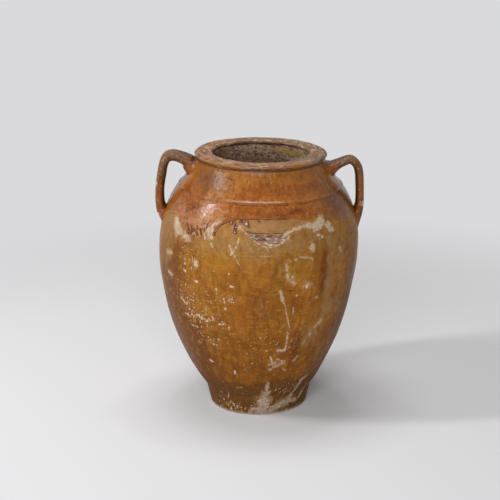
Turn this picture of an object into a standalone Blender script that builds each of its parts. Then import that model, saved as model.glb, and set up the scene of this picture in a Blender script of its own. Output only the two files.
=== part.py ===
"""A large two-handled glazed earthenware storage jar, built up as its potter built it.

A floor slab, six thrown rings and a flat rim sit on each other in V-grooved luting joints, and two
pulled strap handles are luted to the neck and the shoulder. Everything is in metres, +Z up: the jar
stands on z = 0 with its turning axis on the Z axis, its chipped front faces -Y, and the handles
point along -X and +X.
"""

import math

import bmesh
import bpy
from mathutils import Vector

# The floor slab, and the rise of each ring that was thrown on it
FLOOR_THICKNESS = 0.015
FOOT_RING_RISE = 0.109
LOWER_RING_RISE = 0.105
BELLY_RING_RISE = 0.116
UPPER_RING_RISE = 0.130
SHOULDER_RING_RISE = 0.068
NECK_RING_RISE = 0.062

# Radii of the outer skin
BASE_RADIUS = 0.1185
FOOT_RADIUS = 0.129
BELLY_RADIUS = 0.235
RIM_RADIUS = 0.155

# Features of the outline, above the joint that lies under each of them
FOOT_UPRIGHT = 0.033
WIDEST_RISE = 0.047
CORDON_RISE = 0.009

# The clay and its joints
WALL_THICKNESS = 0.013
FOOT_EDGE = 0.0045
GROOVE_DEPTH = 0.005
LUTE_GAP = 0.0003
SKIN_SAMPLE = 0.002
CUT_OVERRUN = 0.01

# The raised line round the shoulder
CORDON_RELIEF = 0.003
CORDON_HALF_HEIGHT = 0.0045

# The flat rim, which overhangs the neck on both sides
RIM_OVERHANG = 0.0065
RIM_WIDTH = 0.042
RIM_THICKNESS = 0.0105
RIM_OUTER_ROUND = 0.0045
RIM_INNER_ROUND = 0.005

# The flake that is missing below the shoulder joint, at the front
CHIP_WIDTH = 0.088
CHIP_HEIGHT = 0.028
CHIP_DEPTH = 0.004
CHIP_OFFSET = 0.019

# Left handle: a heavy arch on a broad leg
LEFT_WIDTH = 0.050
LEFT_LEG_THICKNESS = 0.0222
LEFT_ARCH_THICKNESS = 0.0245
LEFT_ROOT_THICKNESS = 0.042
LEFT_ARCH_DROP = 0.012
LEFT_ROOT_DROP = 0.0055
LEFT_STANDOFF = 0.011

# Right handle: a thinner strap of even thickness
RIGHT_WIDTH = 0.042
RIGHT_LEG_THICKNESS = 0.0205
RIGHT_ARCH_THICKNESS = 0.0195
RIGHT_ROOT_THICKNESS = 0.032
RIGHT_ARCH_DROP = 0.018
RIGHT_ROOT_DROP = 0.0255
RIGHT_STANDOFF = 0.0045

# How the soft jar settled as it dried: its shoulders slid to the right, and its rim tipped
SLIDE = 0.0083
RIM_TILT = math.radians(0.7)

# How finely the round forms are divided
TURN_STEPS = 48
RING_STEPS = 3
LINING_STEPS = 2
ROUND_STEPS = 3
ROUTE_STEPS = 3
STRAP_SIDES = 14
STRAP_SQUARENESS = 2.5
CHIP_SIDES = 24

# Radii that follow from the rim's
NECK_RADIUS = RIM_RADIUS - RIM_OVERHANG
MOUTH_RADIUS = RIM_RADIUS - RIM_WIDTH

# Heights above the ground: the top of each ring is the joint with the next
FOOT_RING_TOP = FLOOR_THICKNESS + FOOT_RING_RISE
LOWER_RING_TOP = FOOT_RING_TOP + LOWER_RING_RISE
BELLY_RING_TOP = LOWER_RING_TOP + BELLY_RING_RISE
UPPER_RING_TOP = BELLY_RING_TOP + UPPER_RING_RISE
SHOULDER_RING_TOP = UPPER_RING_TOP + SHOULDER_RING_RISE
NECK_TOP = SHOULDER_RING_TOP + NECK_RING_RISE
RIM_TOP = NECK_TOP + RIM_THICKNESS
FOOT_HEIGHT = FLOOR_THICKNESS + FOOT_UPRIGHT
BELLY_HEIGHT = BELLY_RING_TOP + WIDEST_RISE
CORDON_HEIGHT = SHOULDER_RING_TOP + CORDON_RISE

# Outline of the wall: shares of the rise from foot to belly, and of the widening there
BODY_SHARES = (
    (0.0, 0.0),
    (0.09, 0.185),
    (0.24, 0.425),
    (0.385, 0.625),
    (0.56, 0.80),
    (0.73, 0.91),
    (0.88, 0.985),
    (1.0, 1.0),
)
# Shares of the rise from belly to neck, and of the narrowing there
SHOULDER_SHARES = (
    (0.0, 0.0),
    (0.132, 0.013),
    (0.32, 0.092),
    (0.51, 0.257),
    (0.65, 0.45),
    (0.79, 0.735),
    (0.92, 0.925),
    (1.0, 1.0),
)

# Each handle's centreline, from inside the neck over the arch and down into the shoulder. A row is
# the share of the reach outside the neck, the share of the span above the lower root, and how far
# the strap has thickened there towards its root and towards its arch.
LEFT_ROUTE_SHARES = (
    (-0.40, 0.725, 1.0, 0.0),
    (0.0, 0.815, 1.0, 0.0),
    (0.14, 0.897, 0.40, 0.5),
    (0.34, 0.955, 0.06, 1.0),
    (0.58, 0.99, 0.0, 1.0),
    (0.79, 0.955, 0.0, 0.8),
    (0.895, 0.83, 0.0, 0.0),
    (0.955, 0.64, 0.0, 0.0),
    (1.0, 0.455, 0.0, 0.0),
    (0.995, 0.287, 0.0, 0.0),
    (0.94, 0.12, 0.0, 0.0),
    (0.83, -0.03, 0.15, 0.0),
    (0.66, -0.15, 0.3, 0.0),
)
RIGHT_ROUTE_SHARES = (
    (-0.40, 0.78, 1.0, 0.0),
    (0.0, 0.85, 1.0, 0.0),
    (0.18, 0.90, 0.45, 0.6),
    (0.40, 0.955, 0.05, 1.0),
    (0.65, 0.995, 0.0, 1.0),
    (0.845, 0.925, 0.0, 0.6),
    (0.94, 0.80, 0.0, 0.0),
    (0.98, 0.60, 0.0, 0.0),
    (1.0, 0.40, 0.0, 0.0),
    (0.995, 0.25, 0.05, 0.0),
    (0.94, 0.08, 0.15, 0.0),
    (0.82, -0.10, 0.35, 0.0),
    (0.66, -0.24, 0.5, 0.0),
)
ROOT_SPREAD_SHARE = 0.28

# Colours read from the jar, as linear red, green and blue, with the surface's roughness
BARE_CLAY = ((0.40, 0.20, 0.09), 0.85)
FOOT_GLAZE = ((0.30, 0.12, 0.03), 0.45)
HONEY_GLAZE = ((0.42, 0.18, 0.04), 0.35)
RED_GLAZE = ((0.33, 0.10, 0.025), 0.22)
WORN_CLAY = ((0.27, 0.17, 0.10), 0.75)


def clear_scene():
    for obj in list(bpy.data.objects):
        bpy.data.objects.remove(obj)


def smooth_value(shares, where):
    """The value at this share on a smooth curve through the (where, value) shares."""
    last = len(shares) - 1
    index = next((i for i in range(1, last) if where < shares[i][0]), last)

    def slope(i):
        before, after = shares[max(i - 1, 0)], shares[min(i + 1, last)]
        return (after[1] - before[1]) / (after[0] - before[0])

    (start, low), (end, high) = shares[index - 1], shares[index]
    span = end - start
    t = min(max((where - start) / span, 0), 1)
    bend_in = slope(index - 1) * span
    bend_out = slope(index) * span
    rise = t * t * (3 - 2 * t)
    return low + rise * (high - low) + t * (1 - t) * ((1 - t) * bend_in - t * bend_out)


def skin_radius(height):
    """The outer skin's radius, without the cordon."""
    if height <= FOOT_HEIGHT:
        climb = max(height - FOOT_EDGE, 0) / (FOOT_HEIGHT - FOOT_EDGE)
        return BASE_RADIUS + climb * (FOOT_RADIUS - BASE_RADIUS)
    if height <= BELLY_HEIGHT:
        rise = (height - FOOT_HEIGHT) / (BELLY_HEIGHT - FOOT_HEIGHT)
        return FOOT_RADIUS + smooth_value(BODY_SHARES, rise) * (BELLY_RADIUS - FOOT_RADIUS)
    rise = (height - BELLY_HEIGHT) / (NECK_TOP - BELLY_HEIGHT)
    return BELLY_RADIUS - smooth_value(SHOULDER_SHARES, rise) * (BELLY_RADIUS - NECK_RADIUS)


def lining_radius(height):
    """The inner skin's radius: the wall keeps its thickness where it slopes."""
    above = min(height + SKIN_SAMPLE, NECK_TOP)
    below = max(height - SKIN_SAMPLE, 0)
    slope = (skin_radius(above) - skin_radius(below)) / (above - below)
    return skin_radius(height) - WALL_THICKNESS * math.hypot(1, slope)


def joint_line(height, lift=0.0):
    """The luting joint across the wall, from the outer skin down a V groove to the lining."""
    outer, inner = skin_radius(height), lining_radius(height)
    middle = (outer + inner) / 2
    return [(outer, height + lift), (middle, height - GROOVE_DEPTH + lift), (inner, height + lift)]


def even_steps(low, high, steps):
    """The heights between two ends, without the ends."""
    return [low + (high - low) * i / steps for i in range(1, steps)]


def skin_heights(low, high):
    """The heights at which a ring's outer skin has a corner, between its joints."""
    if low < FOOT_HEIGHT < high:
        return [FOOT_HEIGHT] + even_steps(FOOT_HEIGHT, high, RING_STEPS)
    if low < CORDON_HEIGHT < high:
        foot = CORDON_HEIGHT - CORDON_HALF_HEIGHT
        head = CORDON_HEIGHT + CORDON_HALF_HEIGHT
        return [foot, CORDON_HEIGHT, head] + even_steps(head, high, RING_STEPS)
    return even_steps(low, high, RING_STEPS)


def skin_points(low, high):
    """The outer skin between two joints, from the bottom up, with the cordon standing out."""
    relief = {CORDON_HEIGHT: CORDON_RELIEF}
    return [(skin_radius(h) + relief.get(h, 0), h) for h in skin_heights(low, high)]


def lining_points(low, high):
    """The inner skin between two joints, from the top down."""
    heights = even_steps(low, high, LINING_STEPS)
    return [(lining_radius(h), h) for h in reversed(heights)]


def ring_outline(low, high):
    """A thrown ring: its tongue sits in the groove below, and its own groove takes the next."""
    top = joint_line(high)
    bottom = joint_line(low, LUTE_GAP)
    return bottom[:1] + skin_points(low, high) + top + lining_points(low, high) + bottom[:0:-1]


def quarter_round(centre, radius, start):
    """A quarter turn of the outline about its centre, anticlockwise from the start angle."""
    angles = [start + math.pi / 2 * i / ROUND_STEPS for i in range(ROUND_STEPS + 1)]
    return [(centre[0] + radius * math.cos(a), centre[1] + radius * math.sin(a)) for a in angles]


def rim_edge(underside):
    """The rim's outer edge, rounded below and above, from its underside to its flat top."""
    centre = RIM_RADIUS - RIM_OUTER_ROUND
    below = quarter_round((centre, underside + RIM_OUTER_ROUND), RIM_OUTER_ROUND, -math.pi / 2)
    return below + quarter_round((centre, RIM_TOP - RIM_OUTER_ROUND), RIM_OUTER_ROUND, 0)


def rim_outline():
    """The flat rim: a tongue below for the neck's groove, and both edges rounded."""
    seat = joint_line(NECK_TOP, LUTE_GAP)
    underside = NECK_TOP + LUTE_GAP
    centre = MOUTH_RADIUS + RIM_INNER_ROUND
    above = quarter_round((centre, RIM_TOP - RIM_INNER_ROUND), RIM_INNER_ROUND, math.pi / 2)
    below = quarter_round((centre, underside + RIM_INNER_ROUND), RIM_INNER_ROUND, math.pi)
    return rim_edge(underside) + above + below + seat[::-1]


def slab_outline():
    """The floor: a solid slab whose edge is the bottom of the foot, grooved for the first ring."""
    underside = [(0, 0), (BASE_RADIUS - FOOT_EDGE, 0), (BASE_RADIUS, FOOT_EDGE)]
    return underside + joint_line(FLOOR_THICKNESS) + [(0, FLOOR_THICKNESS)]


def plug_outline(low):
    """Everything inside the jar's outer faces from this height up, larger by the luting gap."""
    joints = (0, FOOT_RING_TOP, LOWER_RING_TOP, BELLY_RING_TOP, UPPER_RING_TOP, SHOULDER_RING_TOP)
    ends = joints[1:] + (NECK_TOP,)
    faces = []
    for start, end in zip(joints, ends):
        faces += skin_points(start, end) + [(skin_radius(end), end)]
    faces = [(radius, height) for radius, height in faces if height > low]
    rim = rim_edge(NECK_TOP - LUTE_GAP)
    grown = [(radius + LUTE_GAP, height) for radius, height in faces + rim]
    top = RIM_TOP + CUT_OVERRUN
    return [(0, low), (skin_radius(low) + LUTE_GAP, low)] + grown + [(grown[-1][0], top), (0, top)]


def eased(height, start, end):
    """How far a gradual change between two heights has come at this one, from 0 to 1."""
    t = min(max((height - start) / (end - start), 0), 1)
    return t * t * (3 - 2 * t)


def settled(point):
    """Where a point of the true turned form came to lie on the fired jar."""
    slide = SLIDE * eased(point.z, LOWER_RING_TOP, RIM_TOP)
    slope = eased(point.z, BELLY_HEIGHT, NECK_TOP) * math.tan(RIM_TILT)
    return Vector((point.x + slide, point.y, point.z - slope * point.x))


def finished_object(name, form, material, parent):
    """Settles a bmesh into the jar's real lie and makes it an object of that name."""
    for vert in form.verts:
        vert.co = settled(vert.co)
    bmesh.ops.recalc_face_normals(form, faces=form.faces)
    if form.calc_volume(signed=True) < 0:
        bmesh.ops.reverse_faces(form, faces=form.faces)
    mesh = bpy.data.meshes.new(name)
    form.to_mesh(mesh)
    form.free()
    mesh.shade_smooth()
    mesh.set_sharp_from_angle(angle=math.radians(35))
    if material:
        mesh.materials.append(material)
    obj = bpy.data.objects.new(name, mesh)
    obj.parent = parent
    bpy.context.scene.collection.objects.link(obj)
    return obj


def turned_form(outline):
    """The outline's (radius, height) points spun about the axis. An outline that starts on the
    axis is open there, and closes itself."""
    form = bmesh.new()
    verts = [form.verts.new((radius, 0, height)) for radius, height in outline]
    ends = verts[1:] if outline[0][0] == 0 else verts[1:] + verts[:1]
    edges = [form.edges.new(pair) for pair in zip(verts, ends)]
    bmesh.ops.spin(
        form,
        geom=verts + edges,
        cent=(0, 0, 0),
        axis=(0, 0, 1),
        angle=math.tau,
        steps=TURN_STEPS,
        use_merge=True,
    )
    bmesh.ops.remove_doubles(form, verts=form.verts, dist=LUTE_GAP / 10)
    return form


def clay_material(name, colour_and_roughness):
    """A Principled material in the colour and roughness of one of the jar's surfaces."""
    colour, roughness = colour_and_roughness
    material = bpy.data.materials.new(name)
    material.use_nodes = True
    shader = material.node_tree.nodes["Principled BSDF"]
    shader.inputs["Base Color"].default_value = (*colour, 1)
    shader.inputs["Roughness"].default_value = roughness
    shader.inputs["Metallic"].default_value = 0
    return material


def cut_away(obj, cutter):
    """Takes the cutter's space out of the object."""
    cutter.hide_render = True
    cutter.display_type = "WIRE"
    cut = obj.modifiers.new("cut_by_" + cutter.name, "BOOLEAN")
    cut.operation = "DIFFERENCE"
    cut.solver = "EXACT"
    cut.object = cutter


def chip_form():
    """A lens bent round the wall, centred on the joint above the chip. Only its lower half meets
    the ring, so the chip has the joint's straight line on top and a curved edge below."""
    form = bmesh.new()
    bmesh.ops.create_uvsphere(form, u_segments=CHIP_SIDES, v_segments=CHIP_SIDES // 2, radius=1)
    at_joint = skin_radius(UPPER_RING_TOP)
    for vert in form.verts:
        across, out, up = vert.co
        height = UPPER_RING_TOP + up * CHIP_HEIGHT
        radius = skin_radius(height) + out * CHIP_DEPTH
        angle = (CHIP_OFFSET + across * CHIP_WIDTH / 2) / at_joint
        vert.co = (radius * math.sin(angle), -radius * math.cos(angle), height)
    return form


def route_station(rows, index, t):
    """A smooth point of the handle's route between two rows of its table."""
    last = len(rows) - 1
    before, start = rows[max(index - 1, 0)], rows[index]
    end, after = rows[index + 1], rows[min(index + 2, last)]
    values = []
    for a, b, c, d in zip(before, start, end, after):
        bend_in, bend_out = (c - a) / 2, (d - b) / 2
        rise = t * t * (3 - 2 * t)
        values.append(b + rise * (c - b) + t * (1 - t) * ((1 - t) * bend_in - t * bend_out))
    return values


def strap_form(side, rows, width, leg, arch, root, arch_drop, root_drop, standoff):
    """A pulled strap: a rounded section swept over the arch, thicker and wider at its roots."""
    foot_height = UPPER_RING_TOP - root_drop
    span = RIM_TOP - arch_drop - foot_height
    spring_height = foot_height + span * next(up for out, up, _, _ in rows if out == 0)
    neck = skin_radius(spring_height)
    reach = skin_radius(foot_height) + standoff - neck
    stations = []
    for index in range(len(rows) - 1):
        stations += [route_station(rows, index, step / ROUTE_STEPS) for step in range(ROUTE_STEPS)]
    stations.append(rows[-1])
    centres = [Vector((neck + reach * s[0], 0, foot_height + span * s[1])) for s in stations]
    form = bmesh.new()
    loops = []
    for index, (_, _, to_root, to_arch) in enumerate(stations):
        ahead = centres[min(index + 1, len(centres) - 1)] - centres[max(index - 1, 0)]
        across = Vector((ahead.z, 0, -ahead.x)).normalized()
        thick = (leg + to_root * (root - leg) + to_arch * (arch - leg)) / 2
        broad = width * (1 + to_root * ROOT_SPREAD_SHARE) / 2
        loop = []
        for corner in range(STRAP_SIDES):
            angle = math.tau * corner / STRAP_SIDES
            c, s = math.cos(angle), math.sin(angle)
            bulge = (abs(c) ** STRAP_SQUARENESS + abs(s) ** STRAP_SQUARENESS) ** (
                -1 / STRAP_SQUARENESS
            )
            place = centres[index] + across * (thick * bulge * c)
            loop.append(form.verts.new((side * place.x, broad * bulge * s, place.z)))
        loops.append(loop)
    for near, far in zip(loops, loops[1:]):
        for i in range(STRAP_SIDES):
            j = (i + 1) % STRAP_SIDES
            form.faces.new((near[i], near[j], far[j], far[i]))
    form.faces.new(loops[0])
    form.faces.new(loops[-1])
    return form


def main():
    clear_scene()
    jar = bpy.data.objects.new("amphora", None)
    bpy.context.scene.collection.objects.link(jar)
    bare_clay = clay_material("bare_clay", BARE_CLAY)
    foot_glaze = clay_material("foot_glaze", FOOT_GLAZE)
    honey_glaze = clay_material("honey_glaze", HONEY_GLAZE)
    red_glaze = clay_material("red_glaze", RED_GLAZE)
    worn_clay = clay_material("worn_clay", WORN_CLAY)

    finished_object("base_slab", turned_form(slab_outline()), bare_clay, jar)
    rings = (
        ("foot_ring", FLOOR_THICKNESS, FOOT_RING_TOP, foot_glaze),
        ("lower_ring", FOOT_RING_TOP, LOWER_RING_TOP, honey_glaze),
        ("belly_ring", LOWER_RING_TOP, BELLY_RING_TOP, honey_glaze),
        ("upper_ring", BELLY_RING_TOP, UPPER_RING_TOP, honey_glaze),
        ("shoulder_ring", UPPER_RING_TOP, SHOULDER_RING_TOP, red_glaze),
        ("neck_ring", SHOULDER_RING_TOP, NECK_TOP, red_glaze),
    )
    walls = {}
    for name, low, high, glaze in rings:
        walls[name] = finished_object(name, turned_form(ring_outline(low, high)), glaze, jar)
    finished_object("rim", turned_form(rim_outline()), worn_clay, jar)
    chip = finished_object("chip_cutter", chip_form(), None, jar)
    cut_away(walls["upper_ring"], chip)

    plug = finished_object("wall_plug", turned_form(plug_outline(BELLY_RING_TOP)), None, jar)
    left = strap_form(
        -1,
        LEFT_ROUTE_SHARES,
        LEFT_WIDTH,
        LEFT_LEG_THICKNESS,
        LEFT_ARCH_THICKNESS,
        LEFT_ROOT_THICKNESS,
        LEFT_ARCH_DROP,
        LEFT_ROOT_DROP,
        LEFT_STANDOFF,
    )
    right = strap_form(
        1,
        RIGHT_ROUTE_SHARES,
        RIGHT_WIDTH,
        RIGHT_LEG_THICKNESS,
        RIGHT_ARCH_THICKNESS,
        RIGHT_ROOT_THICKNESS,
        RIGHT_ARCH_DROP,
        RIGHT_ROOT_DROP,
        RIGHT_STANDOFF,
    )
    cut_away(finished_object("left_handle", left, worn_clay, jar), plug)
    cut_away(finished_object("right_handle", right, honey_glaze, jar), plug)


main()
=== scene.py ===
"""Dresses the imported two-handled storage jar as the fired, glazed and weathered real one.

The jar is earthenware, thrown in rings on a beaten floor slab. A thin honey glaze covers it, and a
second, redder and glossier coat covers the shoulder down to a ragged edge with runs and beads. Each
thrown ring, the slab, the rim and the two handles are a piece of their own here, as in the solids.
Lengths are metres, and places on the wall are degrees round from the front and metres up.
"""

from __future__ import annotations

import itertools
import logging
import math
from dataclasses import dataclass, replace
from enum import Enum
from typing import Any, Callable, Iterable, Sequence

import bpy
import numpy as np
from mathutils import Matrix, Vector


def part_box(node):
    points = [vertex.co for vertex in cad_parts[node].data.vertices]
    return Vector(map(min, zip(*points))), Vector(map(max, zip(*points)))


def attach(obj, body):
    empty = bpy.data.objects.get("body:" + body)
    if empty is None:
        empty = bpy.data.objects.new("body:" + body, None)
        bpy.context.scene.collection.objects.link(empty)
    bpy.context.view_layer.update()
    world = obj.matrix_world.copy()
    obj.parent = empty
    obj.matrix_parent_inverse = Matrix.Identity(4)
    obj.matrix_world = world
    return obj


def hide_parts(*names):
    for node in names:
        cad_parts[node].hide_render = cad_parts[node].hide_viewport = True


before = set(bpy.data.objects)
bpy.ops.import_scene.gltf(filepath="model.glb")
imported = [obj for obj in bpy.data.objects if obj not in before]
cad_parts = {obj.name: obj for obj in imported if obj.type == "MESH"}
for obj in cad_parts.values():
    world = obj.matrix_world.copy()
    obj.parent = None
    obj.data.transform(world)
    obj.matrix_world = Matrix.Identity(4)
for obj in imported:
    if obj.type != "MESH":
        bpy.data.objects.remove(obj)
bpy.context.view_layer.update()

LOG = logging.getLogger("storage_jar")
MM = 0.001
ROOT_BODY = "root"

COLUMNS = 840
ROW_STEP = 0.0018
FINE_ROW_STEP = 0.001
LINING_ROW_STEP = 0.005
SLOPE_REACH = 2 * MM
LEVEL_SLACK = 1e-6
SHARP_ANGLE = math.radians(52)
FAR_OUTSIDE_MM = -30.0
FAR_OUTSIDE_SHARE = -2.5
SPOT_COUNT = 70
SPOT_SEED = 12
# What the value noise turns its lattice into numbers with
NOISE_START = 1000.0
NOISE_PRIMES = np.array([[73856093], [19349663], [83492791]])
NOISE_SEED_PRIME = 2654435
NOISE_MIXER = 1274126177
NOISE_BITS = 0xFFFF

Array = np.ndarray
Socket = bpy.types.NodeSocket
Tree = bpy.types.NodeTree
Inputs = dict[str | int, Any]
Finish = bpy.types.Material
Piece = bpy.types.Object
Place = tuple[float, float]
Span = tuple[float, float]
Spot = tuple[float, float, float]


class Node(Enum):
    """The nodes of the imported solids, one for each piece of the jar."""

    BASE_SLAB = "base_slab"
    FOOT_RING = "foot_ring"
    LOWER_RING = "lower_ring"
    BELLY_RING = "belly_ring"
    UPPER_RING = "upper_ring"
    SHOULDER_RING = "shoulder_ring"
    NECK_RING = "neck_ring"
    RIM = "rim"
    LEFT_HANDLE = "left_handle"
    RIGHT_HANDLE = "right_handle"


class Slot(Enum):
    """The record's material slots."""

    BARE_CLAY = "bare_clay"
    HONEY_GLAZE = "honey_glaze"
    RED_GLAZE = "red_glaze"
    WORN_CLAY = "worn_clay"
    HANDLE_GLAZE = "handle_glaze"


class Side(Enum):
    """The side of the jar that a handle stands on, as the sign of its X."""

    LEFT = -1
    RIGHT = 1


class Mark(Enum):
    """The fields that a piece's vertices carry for its finish.

    A depth is in millimetres inside the edge of a mark, and negative outside it. The others are
    shares from 0 to 1, apart from the tone, which runs from -1, red, to 1, yellow.
    """

    COAT = "coat_depth"
    # The coat's thick edge, dark lines and cracks, and painted shade under the rim, at the ground
    # line, under the raised line and on top of the chip
    POOL = "pool_depth"
    BEAD = "bead_depth"
    TAN = "tan_depth"
    CREAM = "cream_depth"
    CHIP = "chip_depth"
    LIME = "lime_share"
    LIME_STRENGTH = "lime_strength"
    FOOT = "foot_depth"
    # Faded glaze and grey weathering, and painted sheen on the left of the red coat
    FADED = "faded_share"
    FLAKES = "flake_share"
    TONE = "tone"
    # Darker glaze, and painted shade on the flanks, the lower body and the handles' inner faces
    DEEP = "deep_share"
    # Worn glaze on the handles, and painted shade in the rim's mouth, on its faces that turn down
    # and inside the neck under it
    WEAR = "wear_share"


Marks = dict[Mark, Array]


# ---- plain helpers ----


def linear(hue: str) -> tuple[float, float, float, float]:
    """Turns an sRGB hex colour into the linear colour that a shader takes.

    Args:
        hue: six hex digits after a #.

    Returns:
        Linear red, green, blue and an alpha of 1.
    """
    parts = [int(hue[i : i + 2], 16) / 255 for i in (1, 3, 5)]
    rgb = [c / 12.92 if c <= 0.04045 else ((c + 0.055) / 1.055) ** 2.4 for c in parts]
    return (rgb[0], rgb[1], rgb[2], 1.0)


def ease(share: Array) -> Array:
    """A share from 0 to 1 with its start and its end slowed down."""
    return share * share * (3 - 2 * share)


def eased(value: Array | float, start: float, end: float) -> Array:
    """How far a gradual change between two values has come, from 0 to 1."""
    return ease(np.clip((np.asarray(value, float) - start) / (end - start), 0, 1))


def bell(value: Array, centre: float, half_width: float) -> Array:
    """A smooth hump of height 1 about a centre, almost gone at twice its half width."""
    return np.exp(-(((value - centre) / half_width) ** 2))


def unit(vectors: Array) -> Array:
    """Vectors scaled to a length of 1."""
    return vectors / np.maximum(np.linalg.norm(vectors, axis=1), 1e-6)[:, None]


def turned(turn: Any, centre: float) -> Any:
    """Degrees from a centre to a turn, the shorter way round."""
    return (turn - centre + 180) % 360 - 180


def at(curve: Callable[[Array], Array], height: float) -> float:
    """What a curve of the jar's form gives at one height."""
    return float(curve(np.array(height)))


def soft_noise(points: Array, grain: float | Sequence[float], seed: int) -> Array:
    """Smooth noise in space, the same on every run.

    Args:
        points: places, one row of three each.
        grain: size of its lumps in metres, one number or one for each axis.
        seed: picks another noise.

    Returns:
        One value from -1 to 1 for each place.
    """
    cells = points / np.asarray(grain, float) + NOISE_START
    corner = np.floor(cells).astype(np.int64)
    t = ease(cells - corner)
    total = np.zeros(len(points))
    for step in itertools.product((0, 1), repeat=3):
        x, y, z = (corner + np.array(step)).T * NOISE_PRIMES
        key = x ^ y ^ z ^ seed * NOISE_SEED_PRIME
        key = (key ^ (key >> 13)) * NOISE_MIXER
        value = ((key ^ (key >> 16)) & NOISE_BITS) / (NOISE_BITS / 2) - 1
        total += value * np.prod(np.where(np.array(step) == 1, t, 1 - t), axis=1)
    return total


@dataclass(frozen=True)
class Lumps:
    """Smooth unevenness: the size of its lumps in metres, its seed and how strong it is."""

    grain: float | Spot
    seed: int
    amount: float = 1.0

    def on(self, points: Array) -> Array:
        """The unevenness at these points, from -amount to amount."""
        return self.amount * soft_noise(points, self.grain, self.seed)


def smooth_share(rows: Array, where: Array) -> Array:
    """Follows a smooth curve through points.

    Args:
        rows: the points, each a place along the curve and its value.
        where: places along the curve.

    Returns:
        The value at each of them.
    """
    x, y = rows[:, 0], rows[:, 1]
    last = len(x) - 1
    index = np.arange(last + 1)
    before, after = np.maximum(index - 1, 0), np.minimum(index + 1, last)
    slope = (y[after] - y[before]) / (x[after] - x[before])
    i = np.clip(np.searchsorted(x, where, side="right"), 1, last)
    span = x[i] - x[i - 1]
    t = np.clip((where - x[i - 1]) / span, 0, 1)
    bend = t * (1 - t) * ((1 - t) * slope[i - 1] * span - t * slope[i] * span)
    return y[i - 1] + ease(t) * (y[i] - y[i - 1]) + bend


# ---- the form of the jar ----

BODY_SHARES = np.array(
    [
        (0, 0), (0.09, 0.185), (0.24, 0.425), (0.385, 0.625), (0.56, 0.8), (0.73, 0.91),
        (0.88, 0.985), (1, 1),
    ]
)
SHOULDER_SHARES = np.array(
    [
        (0, 0), (0.132, 0.013), (0.32, 0.092), (0.51, 0.257), (0.65, 0.45), (0.79, 0.735),
        (0.92, 0.925), (1, 1),
    ]
)


@dataclass(frozen=True)
class TurnedForm:
    """The wall as it was thrown, and how it settled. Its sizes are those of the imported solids."""

    floor_top: float = 0.015
    foot_top: float = 0.124
    lower_top: float = 0.229
    belly_top: float = 0.345
    upper_top: float = 0.475
    shoulder_top: float = 0.543
    neck_top: float = 0.605
    rim_top: float = 0.6155
    foot_height: float = 0.048
    belly_height: float = 0.392
    base_radius: float = 0.1185
    foot_radius: float = 0.129
    belly_radius: float = 0.235
    neck_radius: float = 0.1485
    wall: float = 0.013
    foot_edge: float = 0.0045
    groove: float = 0.005
    lute_gap: float = 0.0003
    slide: float = 0.0083
    rim_tilt: float = math.radians(0.7)

    def skin(self, height: Array) -> Array:
        """The outer skin, without relief.

        Args:
            height: metres up.

        Returns:
            Its radius at each height.
        """
        h = np.asarray(height, float)
        climb = np.maximum(h - self.foot_edge, 0) / (self.foot_height - self.foot_edge)
        foot = self.base_radius + climb * (self.foot_radius - self.base_radius)
        rise = (h - self.foot_height) / (self.belly_height - self.foot_height)
        swell = smooth_share(BODY_SHARES, rise) * (self.belly_radius - self.foot_radius)
        body = self.foot_radius + swell
        rise = (h - self.belly_height) / (self.neck_top - self.belly_height)
        narrowing = smooth_share(SHOULDER_SHARES, rise) * (self.belly_radius - self.neck_radius)
        upper = self.belly_radius - narrowing
        return np.where(h <= self.foot_height, foot, np.where(h <= self.belly_height, body, upper))

    def slope(self, height: Array) -> Array:
        """How steeply the wall leans.

        Args:
            height: metres up.

        Returns:
            How fast the skin's radius grows with height there.
        """
        above = np.minimum(np.asarray(height, float) + SLOPE_REACH, self.neck_top)
        below = np.maximum(np.asarray(height, float) - SLOPE_REACH, 0)
        return (self.skin(above) - self.skin(below)) / (above - below)

    def lining(self, height: Array) -> Array:
        """The inner skin's radius: the wall keeps its thickness where it slopes."""
        return self.skin(height) - self.wall * np.hypot(1, self.slope(height))

    def settle(self, points: Array) -> Array:
        """Leans and tips the true turned form as the fired jar does.

        Args:
            points: places on the turned form.

        Returns:
            The same places on the fired jar.
        """
        moved = points.copy()
        moved[:, 0] += self.slide * eased(points[:, 2], self.lower_top, self.rim_top)
        tip = eased(points[:, 2], self.belly_height, self.neck_top) * math.tan(self.rim_tilt)
        moved[:, 2] -= tip * points[:, 0]
        return moved

    def outside(self, points: Array) -> tuple[Array, Array]:
        """Measures how points stand to the skin.

        Args:
            points: places in or round the wall.

        Returns:
            How far each stands outside the skin, and the skin's outward direction there.
        """
        radius = np.hypot(points[:, 0], points[:, 1])
        height = np.clip(points[:, 2], 0, self.neck_top)
        lean = self.slope(height)
        normal = np.stack([points[:, 0] / radius, points[:, 1] / radius, -lean], axis=1)
        return (radius - self.skin(height)) / np.hypot(1, lean), unit(normal)


FORM = TurnedForm()


def around(radius: Array, height: Array | float, turn: Array) -> Array:
    """Points at a turn from the front, in radians, to the right."""
    return np.stack([radius * np.sin(turn), -radius * np.cos(turn), height + 0 * turn], axis=-1)


# ---- marks on the wall ----


@dataclass(frozen=True)
class Stroke:
    """A line or blot of a real width through places on the wall."""

    path: tuple[Place, ...]
    width_mm: float
    strength: float = 1.0


@dataclass(frozen=True)
class Patch:
    """An area of the wall inside an outline of places."""

    outline: tuple[Place, ...]


@dataclass(frozen=True)
class Blush:
    """A soft oval area: its place, half sizes in degrees and metres, and how strong it is."""

    place: Place
    half: Place
    amount: float


def offset(centre: Place, turn: Any, height: Any) -> tuple[Any, Any]:
    """How far places on the wall lie from a centre.

    Args:
        centre: the place to measure from.
        turn: degrees round from the front.
        height: metres up.

    Returns:
        Millimetres along the wall to the right, and millimetres up the wall.
    """
    lean = math.hypot(1, at(FORM.slope, centre[1]))
    along = np.radians(turned(turn, centre[0])) * at(FORM.skin, centre[1]) / MM
    return along, (height - centre[1]) * lean / MM


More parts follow.
